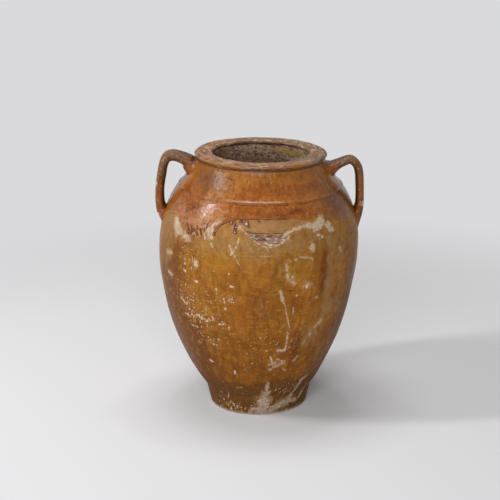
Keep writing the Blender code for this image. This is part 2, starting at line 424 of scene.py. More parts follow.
@dataclass
class WallGrid:
    """Every vertex of a stretch of the smooth outer skin: its turn in degrees, height and place."""

    turn: Array
    height: Array
    points: Array

    def depth_in_stroke(self, stroke: Stroke) -> Array:
        """Measures how far inside a stroke the wall is.

        Args:
            stroke: a line or blot.

        Returns:
            Millimetres inside its edge at each vertex.
        """
        centre = stroke.path[0]
        x, y = offset(centre, self.turn, self.height)
        spots = [offset(centre, *place) for place in stroke.path]
        nearest = np.full(self.turn.shape, np.inf)
        for (ax, ay), (bx, by) in zip(spots, spots[1:] or spots):
            along, up = bx - ax, by - ay
            t = ((x - ax) * along + (y - ay) * up) / (along**2 + up**2 or 1)
            t = np.clip(t, 0, 1)
            nearest = np.minimum(nearest, np.hypot(x - ax - t * along, y - ay - t * up))
        return np.maximum(stroke.width_mm / 2 - nearest, FAR_OUTSIDE_MM)

    def share_in_stroke(self, stroke: Stroke) -> Array:
        """1 along the middle of a stroke, 0 at its edge, and less outside it."""
        depth = self.depth_in_stroke(stroke)
        return np.maximum(depth / (stroke.width_mm / 2), FAR_OUTSIDE_SHARE)

    def depth_in_patch(self, patch: Patch) -> Array:
        """Measures how far inside a patch the wall is.

        Args:
            patch: an outlined area.

        Returns:
            Millimetres inside its outline at each vertex.
        """
        centre = patch.outline[0]
        x, y = offset(centre, self.turn, self.height)
        spots = [offset(centre, *place) for place in patch.outline]
        inside = np.zeros(self.turn.shape, bool)
        for (ax, ay), (bx, by) in zip(spots, spots[1:] + spots[:1]):
            crosses = (ay > y) != (by > y)
            with np.errstate(divide="ignore", invalid="ignore"):
                inside ^= crosses & (x < (bx - ax) * (y - ay) / (by - ay) + ax)
        line = Stroke(patch.outline + patch.outline[:1], 0.0)
        return np.where(inside, -1, 1) * self.depth_in_stroke(line)

    def blushed(self, areas: Sequence[Blush]) -> Array:
        """Adds up soft areas.

        Args:
            areas: the areas, which may overlap.

        Returns:
            Their sum at each vertex.
        """
        total = np.zeros(self.turn.shape)
        for area in areas:
            across = bell(turned(self.turn, area.place[0]), 0, area.half[0])
            total += area.amount * across * bell(self.height, area.place[1], area.half[1])
        return total


def places(numbers: Sequence[float]) -> tuple[Place, ...]:
    """Places from their degrees and millimetres up in turn."""
    return tuple((turn, up / 1000) for turn, up in zip(numbers[::2], numbers[1::2]))


def strokes(*rows: tuple[float, ...]) -> tuple[Stroke, ...]:
    """Strokes from rows of a width in mm, a strength, and each place's degrees and mm up."""
    return tuple(Stroke(places(row[2:]), row[0], row[1]) for row in rows)


def patches(*rows: tuple[float, ...]) -> tuple[Patch, ...]:
    """Patches from rows of the degrees and mm up of each place on an outline."""
    return tuple(Patch(places(row)) for row in rows)


def blushes(*rows: tuple[float, ...]) -> tuple[Blush, ...]:
    """Blushes from rows of degrees, mm up, half width in degrees, half height in mm, amount."""
    return tuple(Blush(*places(row[:4]), row[4]) for row in rows)


def deepest(depths: Iterable[Array]) -> Array:
    """How far inside the deepest of several marks each vertex is."""
    return np.maximum.reduce(list(depths), initial=FAR_OUTSIDE_MM)


# The lower edge of the red coat: degrees, and how many millimetres up and ragged it is
COAT_EDGE = np.array([
    (-180, 486, 4), (-166, 474, 4), (-152, 494, 4), (-138, 468, 5), (-124, 486, 4), (-110, 472, 4),
    (-96, 488, 4), (-84, 478, 4), (-76, 483, 4), (-68, 489, 3), (-60, 490, 2.5), (-57, 486, 2),
    (-54, 478, 2), (-50, 470, 2), (-47, 468, 1.5), (-42, 474, 1.5), (-38, 474, 1.5),
    (-34, 479, 1.5), (-32.5, 482, 1), (-30, 484, 1), (-28.8, 474, 0.8), (-27.8, 466.5, 0.5),
    (-26.4, 466.5, 0.5), (-25.6, 477, 0.6), (-24, 485.5, 0.7), (-22, 493, 0.8), (-19, 498.5, 1),
    (-16, 500, 1), (-13, 505, 0.8), (0, 506, 0.9), (16, 506, 1.2), (21, 503, 2), (28, 503, 3),
    (36, 503, 3), (44, 497, 4), (52, 488, 5), (60, 480, 5), (70, 484, 5), (84, 476, 4),
    (98, 490, 4), (112, 470, 5), (126, 486, 4), (140, 492, 4), (154, 472, 5), (168, 488, 4),
    (180, 486, 4),
]) / (1, 1000, 1)
COAT_RUNS = strokes(
    (5, 1, -47, 476, -46.4, 464), (5.5, 1, -44.5, 480, -43.6, 461),
    (4.5, 1, -41.8, 480, -42.2, 468), (6, 1, -40.2, 480, -39.2, 457),
    (5, 1, -37.6, 480, -36.9, 461), (4.5, 1, -35.6, 482, -35, 470), (5, 1, -34.4, 484, -32.6, 462),
    (4.5, 1, -15.2, 502, -14.4, 488, -14.6, 480), (6, 1, -8.2, 506, -8, 497),
    (7, 1, 66, 490, 66.5, 462), (8, 1, 118, 480, 117, 448), (7, 1, 150, 480, 151, 455),
    (7, 1, -158, 490, -157, 452), (9, 1, -131, 480, -132, 440), (6, 1, -101, 480, -100, 456),
)
COAT_BEADS = strokes(
    (8.5, 1, -17.5, 497.5), (8, 1, -14.2, 489), (8.5, 1, -14.5, 478.5), (11.5, 1, -8.2, 497),
    (6, 1, -7, 491.5), (6.5, 1, -12.2, 502), (5.5, 1, -0.8, 503), (7.5, 1, -27, 470),
    (8, 1, 151, 454), (10, 1, -132, 439), (9, 1, 117, 447),
)
# Dark glossy lines where the red coat ends thick, and cracks, the widest along the top of the chip.
# The lines along the top of the chip are painted shadow under the ring above, and the thin ones
# just under the raised line are painted shade below it.
DARK_LINES_AND_SHADOWS = strokes(
    (2.2, 1, -18.8, 499, -21.2, 496.5), (4, 1, -21.4, 496.2, -23.6, 492.2),
    (7, 1, -23.8, 492, -25.6, 484.5), (8, 1, -25.8, 484, -26.7, 475.5),
    (6.4, 1, -26.8, 475, -27.5, 468.5), (2.6, 1, -32.4, 490, -32.8, 480, -31.6, 470),
    (2.4, 1, -16.4, 501, -15.4, 495, -15.6, 482), (2.4, 1, -12.6, 505, -10.6, 501, -10.2, 495),
    (5.4, 1, -47.4, 479, -45.2, 467), (6.6, 1, -44.6, 480, -41.8, 469),
    (4.8, 1, -43, 468, -43.6, 462.5), (6, 1, -40.4, 471, -38, 462), (5, 1, -39.6, 480, -38.8, 475),
    (6.2, 1, -36.8, 474, -35.4, 464), (4.2, 1, -34.2, 478, -33.8, 472),
    (4, 1, -45.6, 461, -45.2, 459), (4.2, 1, -40.6, 459, -40.2, 457),
    (2, 1, -12.6, 505.6, -4, 506, 8, 506.2, 18, 506),
    (2.9, 1, -7.6, 480.8, -5, 477.8, -1, 476, 5, 475.3, 9, 475.5), (2.9, 1, 8, 475.7, 15.2, 475.2),
    (2.9, 1, 8.5, 473.7, 12.5, 473, 14.4, 470.8), (1.5, 1, 0.5, 342.5, 6, 341.5),
    (1.7, 1, 8, 341.8, 20, 343.2, 27, 346), (1.5, 1, -46, 534, -30, 533.4),
    (1.7, 1, -17, 533.4, -4, 533.1, 7, 533.3), (1.5, 1, 11, 533.2, 19, 533.4),
    (1.3, 1, 25, 533, 39, 533.3), (1.6, 1, -30, 586, -24, 580, -15, 578),
)
TAN_PATCHES = patches(
    (-12, 506, 17, 507, 24, 503, 30, 497, 27, 489, 22, 483, 17, 477, 14, 475.5, 5, 476.5, -2, 478,
     -8, 481, -10.5, 488, -12, 497),
)
CREAM_PATCHES = patches(
    (-63, 484, -59.5, 488, -56.5, 482, -52, 470.5, -48.5, 458, -51, 448, -56, 443.5, -60, 460),
    (-49.5, 463, -44, 456.5, -42, 443.5, -46, 439.5, -51, 448.5),
    (-41.5, 470, -36, 472, -35, 462, -38, 456, -41.5, 460),
    (-34, 490, -29.8, 489.5, -29.5, 475, -27.8, 461, -29.8, 455.5, -32.2, 462.5, -34.5, 478.5),
    (-16.5, 492, -11, 494, -10, 486, -14, 480, -17, 484),
    (92, 488, 99, 490, 104, 472, 97, 455, 92, 466),
    (-122, 486, -114, 478, -111, 462, -118, 450, -124, 464),
)
(CHIP,) = patches(
    (-8.5, 482, -5, 478.5, 0, 476.5, 6, 475.5, 11, 475, 15.5, 475, 15.8, 468, 14, 461, 10, 454, 6,
     450, 3, 450.5, 0, 455.5, -4, 466, -7, 476),
)
CHIP_LOWER_EDGE = Stroke(((-8.8, 0.4835), *CHIP.outline[:5:-1], (16.2, 0.4765)), 0.0)
LIME_PATCHES = patches(
    (38.8, 504, 41.2, 505, 42.4, 488, 39, 476, 35, 469.5, 31.4, 477, 27.6, 483.5, 30, 491, 34,
     494.5),
    (41.2, 486.5, 45, 488.5, 48, 473, 49.2, 465, 45.5, 461, 42.5, 468),
    (30.5, 457.5, 32.8, 445, 34, 433, 31.2, 428, 28.8, 438.5),
)
LIME_MARKS = strokes(
    (2.8, 0.85, -13, 489, -10, 483, -7, 473.5, -4, 464.5, -1, 456, 2, 449.5, 5.5, 446.5, 9, 449.5,
     12.5, 455, 15.5, 462, 17, 470),
    (8.5, 0.7, 14.2, 470.5, 16.2, 476.5, 19.5, 482, 22.8, 485),
    (10, 0.6, 22.8, 485, 26.8, 487, 31, 490), (5, 0.5, 12, 457, 16, 464, 18, 458),
    (7, 0.55, -70, 3, 70, 3), (8, 0.7, 35.5, 463.5, 38.2, 459.5), (5, 0.5, 36.5, 455),
    (12, 0.4, 52, 420, 53, 414), (12, 0.3, 60, 404), (2, 0.8, 0, 427.5, 7, 427.5),
    (4, 0.4, 4, 446, 5, 437), (5, 0.55, -17.2, 449, -15.2, 434, -13.6, 425),
    (4.4, 0.5, -12, 464, -13, 447, -16, 428), (3.5, 0.3, -13.5, 425, -9.5, 398),
    (4, 0.6, -28, 448, -27, 441), (8, 0.6, -24.8, 498.5, -27.2, 492.5, -29, 484, -29.3, 475),
    (6, 0.6, -29, 470, -28.2, 460), (5, 0.6, -33.2, 466, -32.6, 457), (14, 0.5, -63, 401, -59, 403),
    (9, 0.35, -46, 400), (9, 0.8, -38.5, 402, -36.5, 394), (5, 0.8, -46.5, 375.5, -45, 372),
    (6, 0.9, -37.5, 354.5, -36, 354), (6, 0.8, -15.6, 354.5, -14, 354), (4, 0.7, -16.3, 384),
    (4, 0.5, -25.3, 386.5), (14, 0.5, -62, 354, -59, 349), (8, 0.4, -51, 301, -47, 290),
    (7, 0.6, -18.8, 298), (3, 0.5, -31.5, 296, -32, 275), (5, 0.7, -42, 277),
    (4, 0.6, -33, 263, -34, 262.5), (4, 0.7, -24, 256, -20.5, 257),
    (4, 0.7, -17.3, 250, -17.3, 244), (4, 0.6, -46, 238, -40, 236), (4, 0.6, -38, 221),
    (6, 0.8, -41.5, 194), (8, 0.9, -36.3, 149, -35.6, 147), (5, 0.9, -17.6, 129, -17.4, 123),
    (4, 0.6, -9.7, 149), (4, 0.6, -3.8, 155), (3.6, 0.9, -2.6, 198), (4, 1, 6.3, 191),
    (5, 0.6, -30, 199), (18, 1, 28.3, 350), (5, 0.8, 22.3, 330), (5, 0.7, 17.5, 412.5),
    (6, 0.6, 20.5, 415), (6, 0.35, 23.5, 421, 27.5, 418, 31, 411),
    (6.5, 0.45, 15.3, 407, 15.6, 392), (12, 0.5, 16.2, 380, 17.4, 366, 20, 362),
    (8, 0.6, 18.8, 376), (8.5, 0.5, 12.2, 345, 14.4, 320),
    (2.8, 0.62, 14.5, 318, 16, 305, 16.8, 290, 17.8, 275, 19.2, 258, 20.2, 243),
    (4.5, 0.6, 18.8, 238, 19.1, 222, 18.8, 205, 18.8, 193),
    (9, 0.55, 18.6, 192, 16.8, 188, 13.8, 192), (3, 0.6, 20.7, 302, 21.3, 282),
    (9, 0.45, 35.8, 315.5), (4, 0.8, 9, 174, 10.3, 160), (12, 0.4, 9, 150, 13, 156),
    (10, 0.4, 12, 146, 19, 153), (5, 0.5, 15, 160, 20, 158), (10, 0.5, 10, 137), (10, 0.4, 15, 165),
    (5, 0.5, 20, 134, 22, 130), (11, 0.35, 42, 252, 38, 238), (10, 0.3, 35, 222),
    (9, 0.3, 29, 166, 27, 156), (8, 0.65, 9, 96, 8.6, 78, 8.4, 60), (20, 0.7, 8.4, 64, 7.6, 46),
    (32, 0.8, 7, 40, 6.5, 26, 6, 12), (12, 0.6, -6, 14, 4, 10, 17, 10),
    (20, 0.75, 17, 14, 26, 24, 36, 32), (12, 0.7, 36, 32, 46, 26), (8, 0.7, 38, 40, 41, 64, 42, 88),
    (9, 0.5, 42, 88, 48, 96), (8, 0.6, 52, 30, 57, 45, 60, 62), (4, 0.5, -31, 55, -33, 40),
    (6, 0.5, -30, 30), (5, 0.4, -42, 54, -40, 50), (5, 0.35, -19, 78, -14, 81),
    (4, 0.8, 150, 300, 152, 240, 149, 205), (26, 0.7, 150, 70, 156, 30),
    (22, 0.6, -150, 355, -146, 340), (16, 0.7, 105, 330), (9, 0.7, -105, 250, -103, 232),
    (12, 0.5, 175, 415, -176, 395), (14, 0.45, 88, 200, 84, 170), (18, 0.6, -95, 60, -88, 30),
)
TONES = blushes(
    (-32, 580, 18, 22, 0.9), (33, 586, 14, 18, 0.7), (4, 594, 14, 8, 0.5), (-2, 522, 26, 16, -0.7),
    (25, 520, 9, 8, -0.9), (20, 562, 28, 10, -0.85), (-58, 520, 14, 30, -0.7),
    (62, 565, 10, 25, 0.4), (-2, 335, 7, 40, -0.65), (-6, 280, 20, 30, -0.3),
    (18, 392, 11, 32, 0.8), (-22, 455, 16, 30, 0.8), (2, 440, 16, 18, 0.5),
    (-28, 395, 12, 50, 0.35), (-35, 330, 16, 60, 0.2), (-50, 150, 18, 60, -0.6),
    (-15, 170, 16, 45, 0.2), (23, 310, 6, 30, -0.7), (26, 180, 5, 60, -0.8),
    (120, 320, 20, 100, 0.5), (165, 260, 16, 120, -0.6), (-140, 280, 22, 110, 0.4),
    (-100, 350, 14, 80, -0.4), (90, 200, 16, 80, -0.5),
)
# Darker areas of the wall. Most of the broad ones are painted shade, on the flanks, the lower body,
# the left of the neck and the right of the shoulder.
DEEP_AND_SHADED_AREAS = blushes(
    (-67, 240, 15, 140, 1), (-60, 350, 13, 110, 0.6), (-42, 220, 9, 80, 0.5),
    (-44, 573, 20, 26, 0.85), (38, 563, 14, 12, 0.35), (6, 515, 12, 8, 0.45),
    (-45, 514, 12, 14, 0.5), (20, 519, 2.5, 4, 0.5), (25, 522.5, 3.5, 3, 0.5),
    (-47, 450, 13, 50, 0.5), (16, 425, 2.4, 8, 0.5), (12.6, 409, 2, 10, 0.55),
    (9.6, 394, 1.8, 10, 0.55), (7.6, 379, 1.7, 10, 0.45), (-56, 110, 22, 60, 0.65),
    (71, 250, 14, 150, 1), (62, 525, 20, 45, 0.85), (66, 100, 18, 60, 0.35),
    (39.5, 415, 2.6, 40, 0.85), (38.2, 350, 3.2, 50, 0.85), (50, 300, 4, 30, 0.35),
    (27, 190, 4, 45, 0.3), (150, 350, 16, 70, 0.45), (-150, 200, 22, 70, 0.35),
    (108, 230, 10, 80, 0.4), (-115, 420, 8, 50, 0.4),
)
# Paler, faded glaze. The areas on the left of the red coat are painted sheen, and the broad band
# across the front below the coat is partly painted sheen.
FADED = blushes(
    (44.4, 400, 2.4, 40, 1), (43, 330, 2.6, 45, 1), (51, 405, 4, 45, 0.5), (48, 285, 8, 22, 0.8),
    (35, 215, 7, 30, 0.6), (62, 330, 8, 120, 0.4), (1, 300, 6, 50, 0.3), (0, 452, 70, 28, 0.75),
    (-64, 400, 7, 50, 0.7), (-68, 462, 9, 18, 0.8), (55, 150, 14, 50, 0.35), (-38, 525, 9, 34, 0.6),
    (-25, 512, 8, 34, 0.6), (-43, 488, 9, 14, 0.6), (42, 250, 3.5, 16, 0.9), (37, 229, 3, 12, 0.9),
    (32, 206, 3, 12, 0.7), (-58, 500, 10, 26, 0.6), (130, 180, 14, 70, 0.5),
    (-125, 370, 12, 60, 0.5), (172, 340, 12, 60, 0.4), (140, 540, 14, 30, 0.5),
)
FLAKE_AREAS = blushes(
    (-45, 312, 17, 45, 0.28), (-17, 322, 8, 18, 0.52), (-32, 262, 20, 18, 0.34),
    (-33, 207, 14, 22, 0.4), (2, 228, 22, 45, 0.13), (-36, 280, 24, 80, 0.15),
    (-44, 400, 12, 50, 0.34), (25, 215, 18, 70, 0.13), (-20, 150, 30, 50, 0.12),
    (0, 380, 60, 60, 0.08), (-32, 20, 26, 16, 0.6), (24, 60, 25, 40, 0.4),
    (140, 260, 30, 110, 0.42), (-130, 240, 30, 110, 0.42), (180, 60, 60, 40, 0.4),
)
# Level lines left in the wall by the potter's fingers and by the joints: metres up, depth in mm
TURNING_LINES = (
    (0.0485, 0.5), (0.094, 0.35), (0.124, 0.35), (0.187, 0.3), (0.229, 0.45), (0.266, 0.4),
    (0.2725, -0.25), (0.303, 0.2), (0.345, 0.6), (0.398, 0.2), (0.447, 0.25), (0.475, 0.25),
    (0.575, 0.3), (0.593, 0.35),
)


@dataclass(frozen=True)
class Relief:
    """How the skin stands proud of its smooth outline, in metres."""

    wobble: Lumps = Lumps((0.16, 0.16, 0.11), 3, 0.6 * MM)
    small_wobble: Lumps = Lumps((0.05, 0.05, 0.035), 4, 0.21 * MM)
    foot_flat: float = 0.0055
    foot_flat_turn: float = -95.0
    foot_flat_half: float = 46.0
    foot_flat_fades: Span = (0.05, 0.125)
    line_sway: Lumps = Lumps(0.09, 5, 0.9 * MM)
    line_half: float = 0.0022
    line_fade_grain: float = 0.07
    rib_pitch: float = 0.0115
    rib_sway: Lumps = Lumps((0.2, 0.2, 0.05), 6, 2.2)
    rib_mm: Span = (0.11, 0.02)
    ribs_fade: Span = (0.36, 0.44)
    cordon_height: float = 0.5385
    cordon_relief: float = 0.0032
    cordon_half: float = 0.002
    cordon_wear: Lumps = Lumps(0.05, 7, 0.18)
    cordon_groove: float = 0.0007
    cordon_groove_drop: float = 0.0056
    cordon_groove_half: float = 0.0022
    coat_thickness: float = 0.0005
    coat_lip: float = 0.0006
    lip_lumps: Lumps = Lumps(0.02, 8, 0.6)
    lip_middle_mm: float = 2.2
    lip_half_mm: float = 1.8
    bead_height: float = 0.003
    bead_round_mm: float = 3.0
    patch_depth: float = 0.0004
    lime_crust: float = 0.00025
    lime_lumps: Lumps = Lumps(0.004, 9, 0.6)
    foot_chips: Lumps = Lumps(0.008, 10, 0.5 * MM)
    foot_chips_below: float = 0.012
    flake_depth: float = 0.0045
    flake_slope_mm: float = 17.0
    flake_lumps: Lumps = Lumps(0.006, 11, 0.45 * MM)

    def thrown(self, grid: WallGrid) -> Array:
        """What the potter's hands left: unevenness, turning lines, ribs and the raised line.

        Args:
            grid: the vertices.

        Returns:
            Metres outwards at each vertex.
        """
        points = grid.points
        out = self.wobble.on(points) + self.small_wobble.on(points)
        off_side = bell(grid.turn, self.foot_flat_turn, self.foot_flat_half)
        out -= self.foot_flat * off_side * (1 - eased(grid.height, *self.foot_flat_fades))
        height = grid.height + self.line_sway.on(points)
        for line, depth in TURNING_LINES:
            fade = 0.55 + Lumps(self.line_fade_grain, int(line * 1e4), 0.45).on(points)
            out -= depth * MM * bell(height, line, self.line_half) * np.clip(fade, 0, 1)
        low, high = self.rib_mm
        rib = low + (high - low) * eased(grid.height, *self.ribs_fade)
        out += rib * MM * np.sin(height / self.rib_pitch * math.tau + self.rib_sway.on(points))
        worn = 1 - self.cordon_wear.amount + self.cordon_wear.on(points)
        out += self.cordon_relief * worn * bell(grid.height, self.cordon_height, self.cordon_half)
        under = self.cordon_height - self.cordon_groove_drop
        return out - self.cordon_groove * bell(grid.height, under, self.cordon_groove_half)

    def coated(self, grid: WallGrid, marks: Marks) -> Array:
        """What lies on the clay or is gone from it: red coat, beads, lost glaze, lime and chips.

        Args:
            grid: the vertices.
            marks: the fields at the vertices.

        Returns:
            Metres outwards at each vertex.
        """
        coat, points = marks[Mark.COAT], grid.points
        out = self.coat_thickness * eased(coat, -0.3, 1.2)
        lip = np.clip(self.lip_lumps.amount + self.lip_lumps.on(points), 0.1, 1)
        out += self.coat_lip * lip * bell(coat, self.lip_middle_mm, self.lip_half_mm)
        bead = np.clip(marks[Mark.BEAD] / self.bead_round_mm, 0, 1)
        out += self.bead_height * np.sqrt(1 - (1 - bead) ** 2) * (bead > 0)
        lost = np.maximum(marks[Mark.TAN], marks[Mark.CREAM])
        out -= self.patch_depth * eased(lost, -0.5, 1.0)
        lime = eased(marks[Mark.LIME], 0.0, 0.8) * marks[Mark.LIME_STRENGTH]
        out += self.lime_crust * lime * (self.lime_lumps.amount + self.lime_lumps.on(points))
        return out + np.where(grid.height < self.foot_chips_below, self.foot_chips.on(points), 0)

    def flake(self, grid: WallGrid) -> Array:
        """The missing flake: a rough scoop that is deepest at the joint above it.

        Args:
            grid: the vertices.

        Returns:
            Metres of clay gone at each vertex.
        """
        from_edge = -grid.depth_in_stroke(CHIP_LOWER_EDGE)
        scoop = self.flake_depth * eased(from_edge, 0, self.flake_slope_mm)
        scoop = scoop + self.flake_lumps.on(grid.points) * eased(from_edge, 1, 5)
        inside = (grid.depth_in_patch(CHIP) > 0) & (grid.height <= FORM.upper_top + LEVEL_SLACK)
        return np.where(inside, scoop, 0)


@dataclass(frozen=True)
class Weathering:
    """Where the coats lie on the wall, how they pooled and wore, where lime took hold, and where
    shade and sheen are painted on.
    """

    coat_stretch: float = 1.15
    broad_fray: Lumps = Lumps(0.014, 21)
    fine_fray: Lumps = Lumps(0.006, 22, 0.6)
    run_fray: float = 0.5
    line_fray: float = 1.1
    cream_fray: float = 1.2
    cream_clear_of_coat_mm: float = 2.0
    lime_fade_mm: float = 5.0
    lime_fray: float = 0.5
    lime_patch_strength: float = 0.62
    crust_fade_mm: float = 8.0
    crust_lumps: Lumps = Lumps(0.017, 23, 1.2)
    crust_strength: float = 0.7
    worn_foot: float = 0.094
    worn_foot_rise: float = 0.012
    worn_foot_sway: Lumps = Lumps(0.03, 24, 0.004)
    pool_lumps: Lumps = Lumps(0.03, 25)
    pool_front: Span = (-10, 26)
    pool_sides_from: float = 75.0
    rim_shadow_drop: float = 0.0036
    flake_lumps: Lumps = Lumps(0.05, 26, 0.12)
    flakes_under_coat: float = 0.25

    def marks(self, grid: WallGrid) -> Marks:
        """All the fields of the glazed wall at its vertices.

        Args:
            grid: the vertices.

        Returns:
            One array for each field.
        """
        fray = self.broad_fray.on(grid.points) + self.fine_fray.on(grid.points)
        coat = self.coat(grid, fray)
        cream = deepest(grid.depth_in_patch(p) + self.cream_fray * fray for p in CREAM_PATCHES)
        lime, strength = self.lime(grid, fray)
        foot = self.worn_foot + self.worn_foot_rise * bell(turned(grid.turn, 0), 22, 16)
        foot = foot + self.worn_foot_sway.on(grid.points)
        paler = 0.45 * eased(grid.height, 0.38, 0.45)
        # Darker areas, and painted shade that grows towards the bottom
        deep = grid.blushed(DEEP_AND_SHADED_AREAS) + 0.45 * eased(grid.height, 0.3, 0.17)
        deep = deep + 0.2 * bell(grid.height, 0.216, 0.022)
        flakes = 0.1 + grid.blushed(FLAKE_AREAS) + self.flake_lumps.on(grid.points)
        flakes = flakes * (1 - eased(coat, -2, 2) * (1 - self.flakes_under_coat))
        return {
            Mark.COAT: coat,
            Mark.POOL: self.pool(grid, coat, fray),
            Mark.BEAD: deepest(grid.depth_in_stroke(drop) for drop in COAT_BEADS),
            Mark.TAN: deepest(grid.depth_in_patch(patch) for patch in TAN_PATCHES),
            Mark.CREAM: np.minimum(cream, self.cream_clear_of_coat_mm - coat),
            Mark.CHIP: grid.depth_in_patch(CHIP),
            Mark.LIME: lime,
            Mark.LIME_STRENGTH: strength,
            Mark.FOOT: (foot - grid.height) / MM,
            Mark.FADED: np.clip(grid.blushed(FADED), 0, 1),
            Mark.FLAKES: np.clip(flakes, 0, 1),
            Mark.TONE: np.clip(grid.blushed(TONES) + paler, -1, 1),
            Mark.DEEP: np.clip(deep, 0, 1),
            Mark.WEAR: np.zeros(coat.shape),
        }

    def coat(self, grid: WallGrid, fray: Array) -> Array:
        """The red coat, with its ragged edge and its runs.

        Args:
            grid: the vertices.
            fray: how edges fray at them.

        Returns:
            Millimetres inside the coat's edge at each vertex.
        """
        edge, ragged = (np.interp(grid.turn, COAT_EDGE[:, 0], COAT_EDGE[:, i]) for i in (1, 2))
        coat = (grid.height - edge) / MM * self.coat_stretch + ragged * fray
        runs = [grid.depth_in_stroke(run) + self.run_fray * fray for run in COAT_RUNS]
        return np.maximum.reduce([coat, *runs])

    def lime(self, grid: WallGrid, fray: Array) -> tuple[Array, Array]:
        """The lime: splashes, scratches and spots, and a crust round the foot.

        Args:
            grid: the vertices.
            fray: how edges fray at them.

        Returns:
            The share of the way into a mark at each vertex, and how strong that mark is.
        """
        found = [(grid.share_in_stroke(m), m.strength) for m in LIME_MARKS + scattered_marks()]
        for patch in LIME_PATCHES:
            share = grid.depth_in_patch(patch) / self.lime_fade_mm + self.lime_fray * fray
            found.append((np.maximum(share, FAR_OUTSIDE_SHARE), self.lime_patch_strength))
        crust = 0.5 - grid.height / MM / self.crust_fade_mm + self.crust_lumps.on(grid.points)
        found.append((crust + 0.7 * fray, self.crust_strength))
        lime, strength = np.full(fray.shape, FAR_OUTSIDE_SHARE), np.zeros(fray.shape)
        for share, amount in found:
            strength = np.where(share > lime, amount, strength)
            lime = np.maximum(lime, share)
        return lime, strength

    def pool(self, grid: WallGrid, coat: Array, fray: Array) -> Array:
        """Dark places: the thick end of the coat, dark lines, and painted shade below the rim and
        along the foot's ground line.

        Args:
            grid: the vertices.
            coat: millimetres inside the coat's edge.
            fray: how edges fray at the vertices.

        Returns:
            Millimetres inside a dark place at each vertex.
        """
        pooled = eased(self.pool_lumps.on(grid.points), 0.1, 0.5)
        pooled = pooled * (np.abs(grid.turn) > self.pool_sides_from)
        pooled = np.maximum(pooled, bell(grid.turn, *self.pool_front))
        edge = 1.7 * pooled - 0.5 - np.abs(coat - 1.0) + 0.5 * fray
        # Painted shade: a dark band just under the rim's overhang, and one along the ground line at
        # the foot
        below_rim = np.abs(grid.height - FORM.neck_top + self.rim_shadow_drop) / MM
        rim_shadow = np.minimum(1.2, 2.3 - below_rim + 0.6 * fray)
        ground_line_shade = 1.6 - grid.height / MM + 0.9 * fray
        lines = [grid.depth_in_stroke(line) + self.line_fray * fray for line in DARK_LINES_AND_SHADOWS]
        return np.maximum.reduce([edge, rim_shadow, ground_line_shade, *lines])


RELIEF = Relief()
WEATHERING = Weathering()


def scattered_marks() -> tuple[Stroke, ...]:
    """Small lime spots all over the sides and the back, the same on every run.

    Returns:
        The spots, each a short stroke.
    """
    dice = np.random.default_rng(SPOT_SEED)
    spots = []
    for _ in range(SPOT_COUNT):
        place = (dice.uniform(72, 288), dice.uniform(0.03, 0.46))
        far = (place[0] + dice.normal(0, 0.9), place[1] + dice.normal(0, 0.004))
        width, strength = dice.uniform(2.5, 7.5), dice.uniform(0.4, 0.9)
        spots.append(Stroke((place, far), width, strength))
    return tuple(spots)


# ---- meshes ----


def placed(name: str, data: Any) -> Piece:
    """Puts a mesh, a lamp or a camera into the scene."""
    made = bpy.data.objects.new(name, data)
    bpy.context.scene.collection.objects.link(made)
    return made


@dataclass
class Loft:
    """A closed skin through loops of vertices, each loop going once round.

    The loops either close into a ring of loops, or end in a fan at each end.
    """

    loops: list[Array]
    fields: list[Marks]
    glazed: list[bool]
    ring: bool = True
    ends: tuple[Array, ...] = ()

    def quads(self) -> tuple[Array, Array]:
        """The faces between the loops.

        Returns:
            The vertex numbers of each face, and whether it is of the shown skin.
        """
        count, size = len(self.loops), len(self.loops[0])
        rows = np.arange(count if self.ring else count - 1)
        here = rows[:, None] * size + np.arange(size)[None, :]
        over = ((rows + 1) % count)[:, None] * size + np.arange(size)[None, :]
        faces = np.stack([here, np.roll(here, -1, 1), np.roll(over, -1, 1), over], -1)
        shown = [self.glazed[i] and self.glazed[(i + 1) % count] for i in rows]
        return faces.reshape(-1, 4), np.repeat(shown, size)

    def fans(self) -> Array:
        """The triangles that close the two ends.

        Returns:
            The vertex numbers of each triangle.
        """
        count, size = len(self.loops), len(self.loops[0])
        found = [np.zeros((0, 3), int)]
        for number, _ in enumerate(self.ends):
            loop = np.arange(size)[::-1] if number == 0 else np.arange(size) + (count - 1) * size
            tip = np.full(size, count * size + number)
            found.append(np.stack([tip, loop, np.roll(loop, -1)], -1))
        return np.concatenate(found)

    def build(self, name: str, finishes: Sequence[Finish]) -> Piece:
        """Makes the mesh object.

        Args:
            name: the piece's name.
            finishes: the material of the shown skin, then that of the rest.

        Returns:
            The object, linked to the scene, with its fields as vertex attributes.
        """
        points = np.concatenate(self.loops + [np.atleast_2d(end) for end in self.ends])
        (quads, shown), triangles = self.quads(), self.fans()
        corners = np.concatenate([quads.ravel(), triangles.ravel()])
        totals = np.repeat([4, 3], [len(quads), len(triangles)])
        starts = np.cumsum(totals) - totals
        hidden = np.concatenate([~shown, np.ones(len(triangles), bool)])
        mesh = bpy.data.meshes.new(name)
        mesh.vertices.add(len(points))
        mesh.vertices.foreach_set("co", points.astype(np.float32).ravel())
        mesh.loops.add(len(corners))
        mesh.loops.foreach_set("vertex_index", corners.astype(np.int32))
        mesh.polygons.add(len(totals))
        mesh.polygons.foreach_set("loop_start", starts.astype(np.int32))
        mesh.polygons.foreach_set("material_index", (hidden * (len(finishes) > 1)).astype(np.int32))
        mesh.update(calc_edges=True)
        mesh.validate()
        mesh.shade_smooth()
        mesh.set_sharp_from_angle(angle=SHARP_ANGLE)
        for finish in finishes:
            mesh.materials.append(finish)
        on_loops = len(points) - len(self.ends)
        for mark in self.fields[0]:
            values = np.zeros(len(points), np.float32)
            values[:on_loops] = np.concatenate([marks[mark] for marks in self.fields])
            mesh.attributes.new(mark.value, "FLOAT", "POINT").data.foreach_set("value", values)
        return placed(name, mesh)


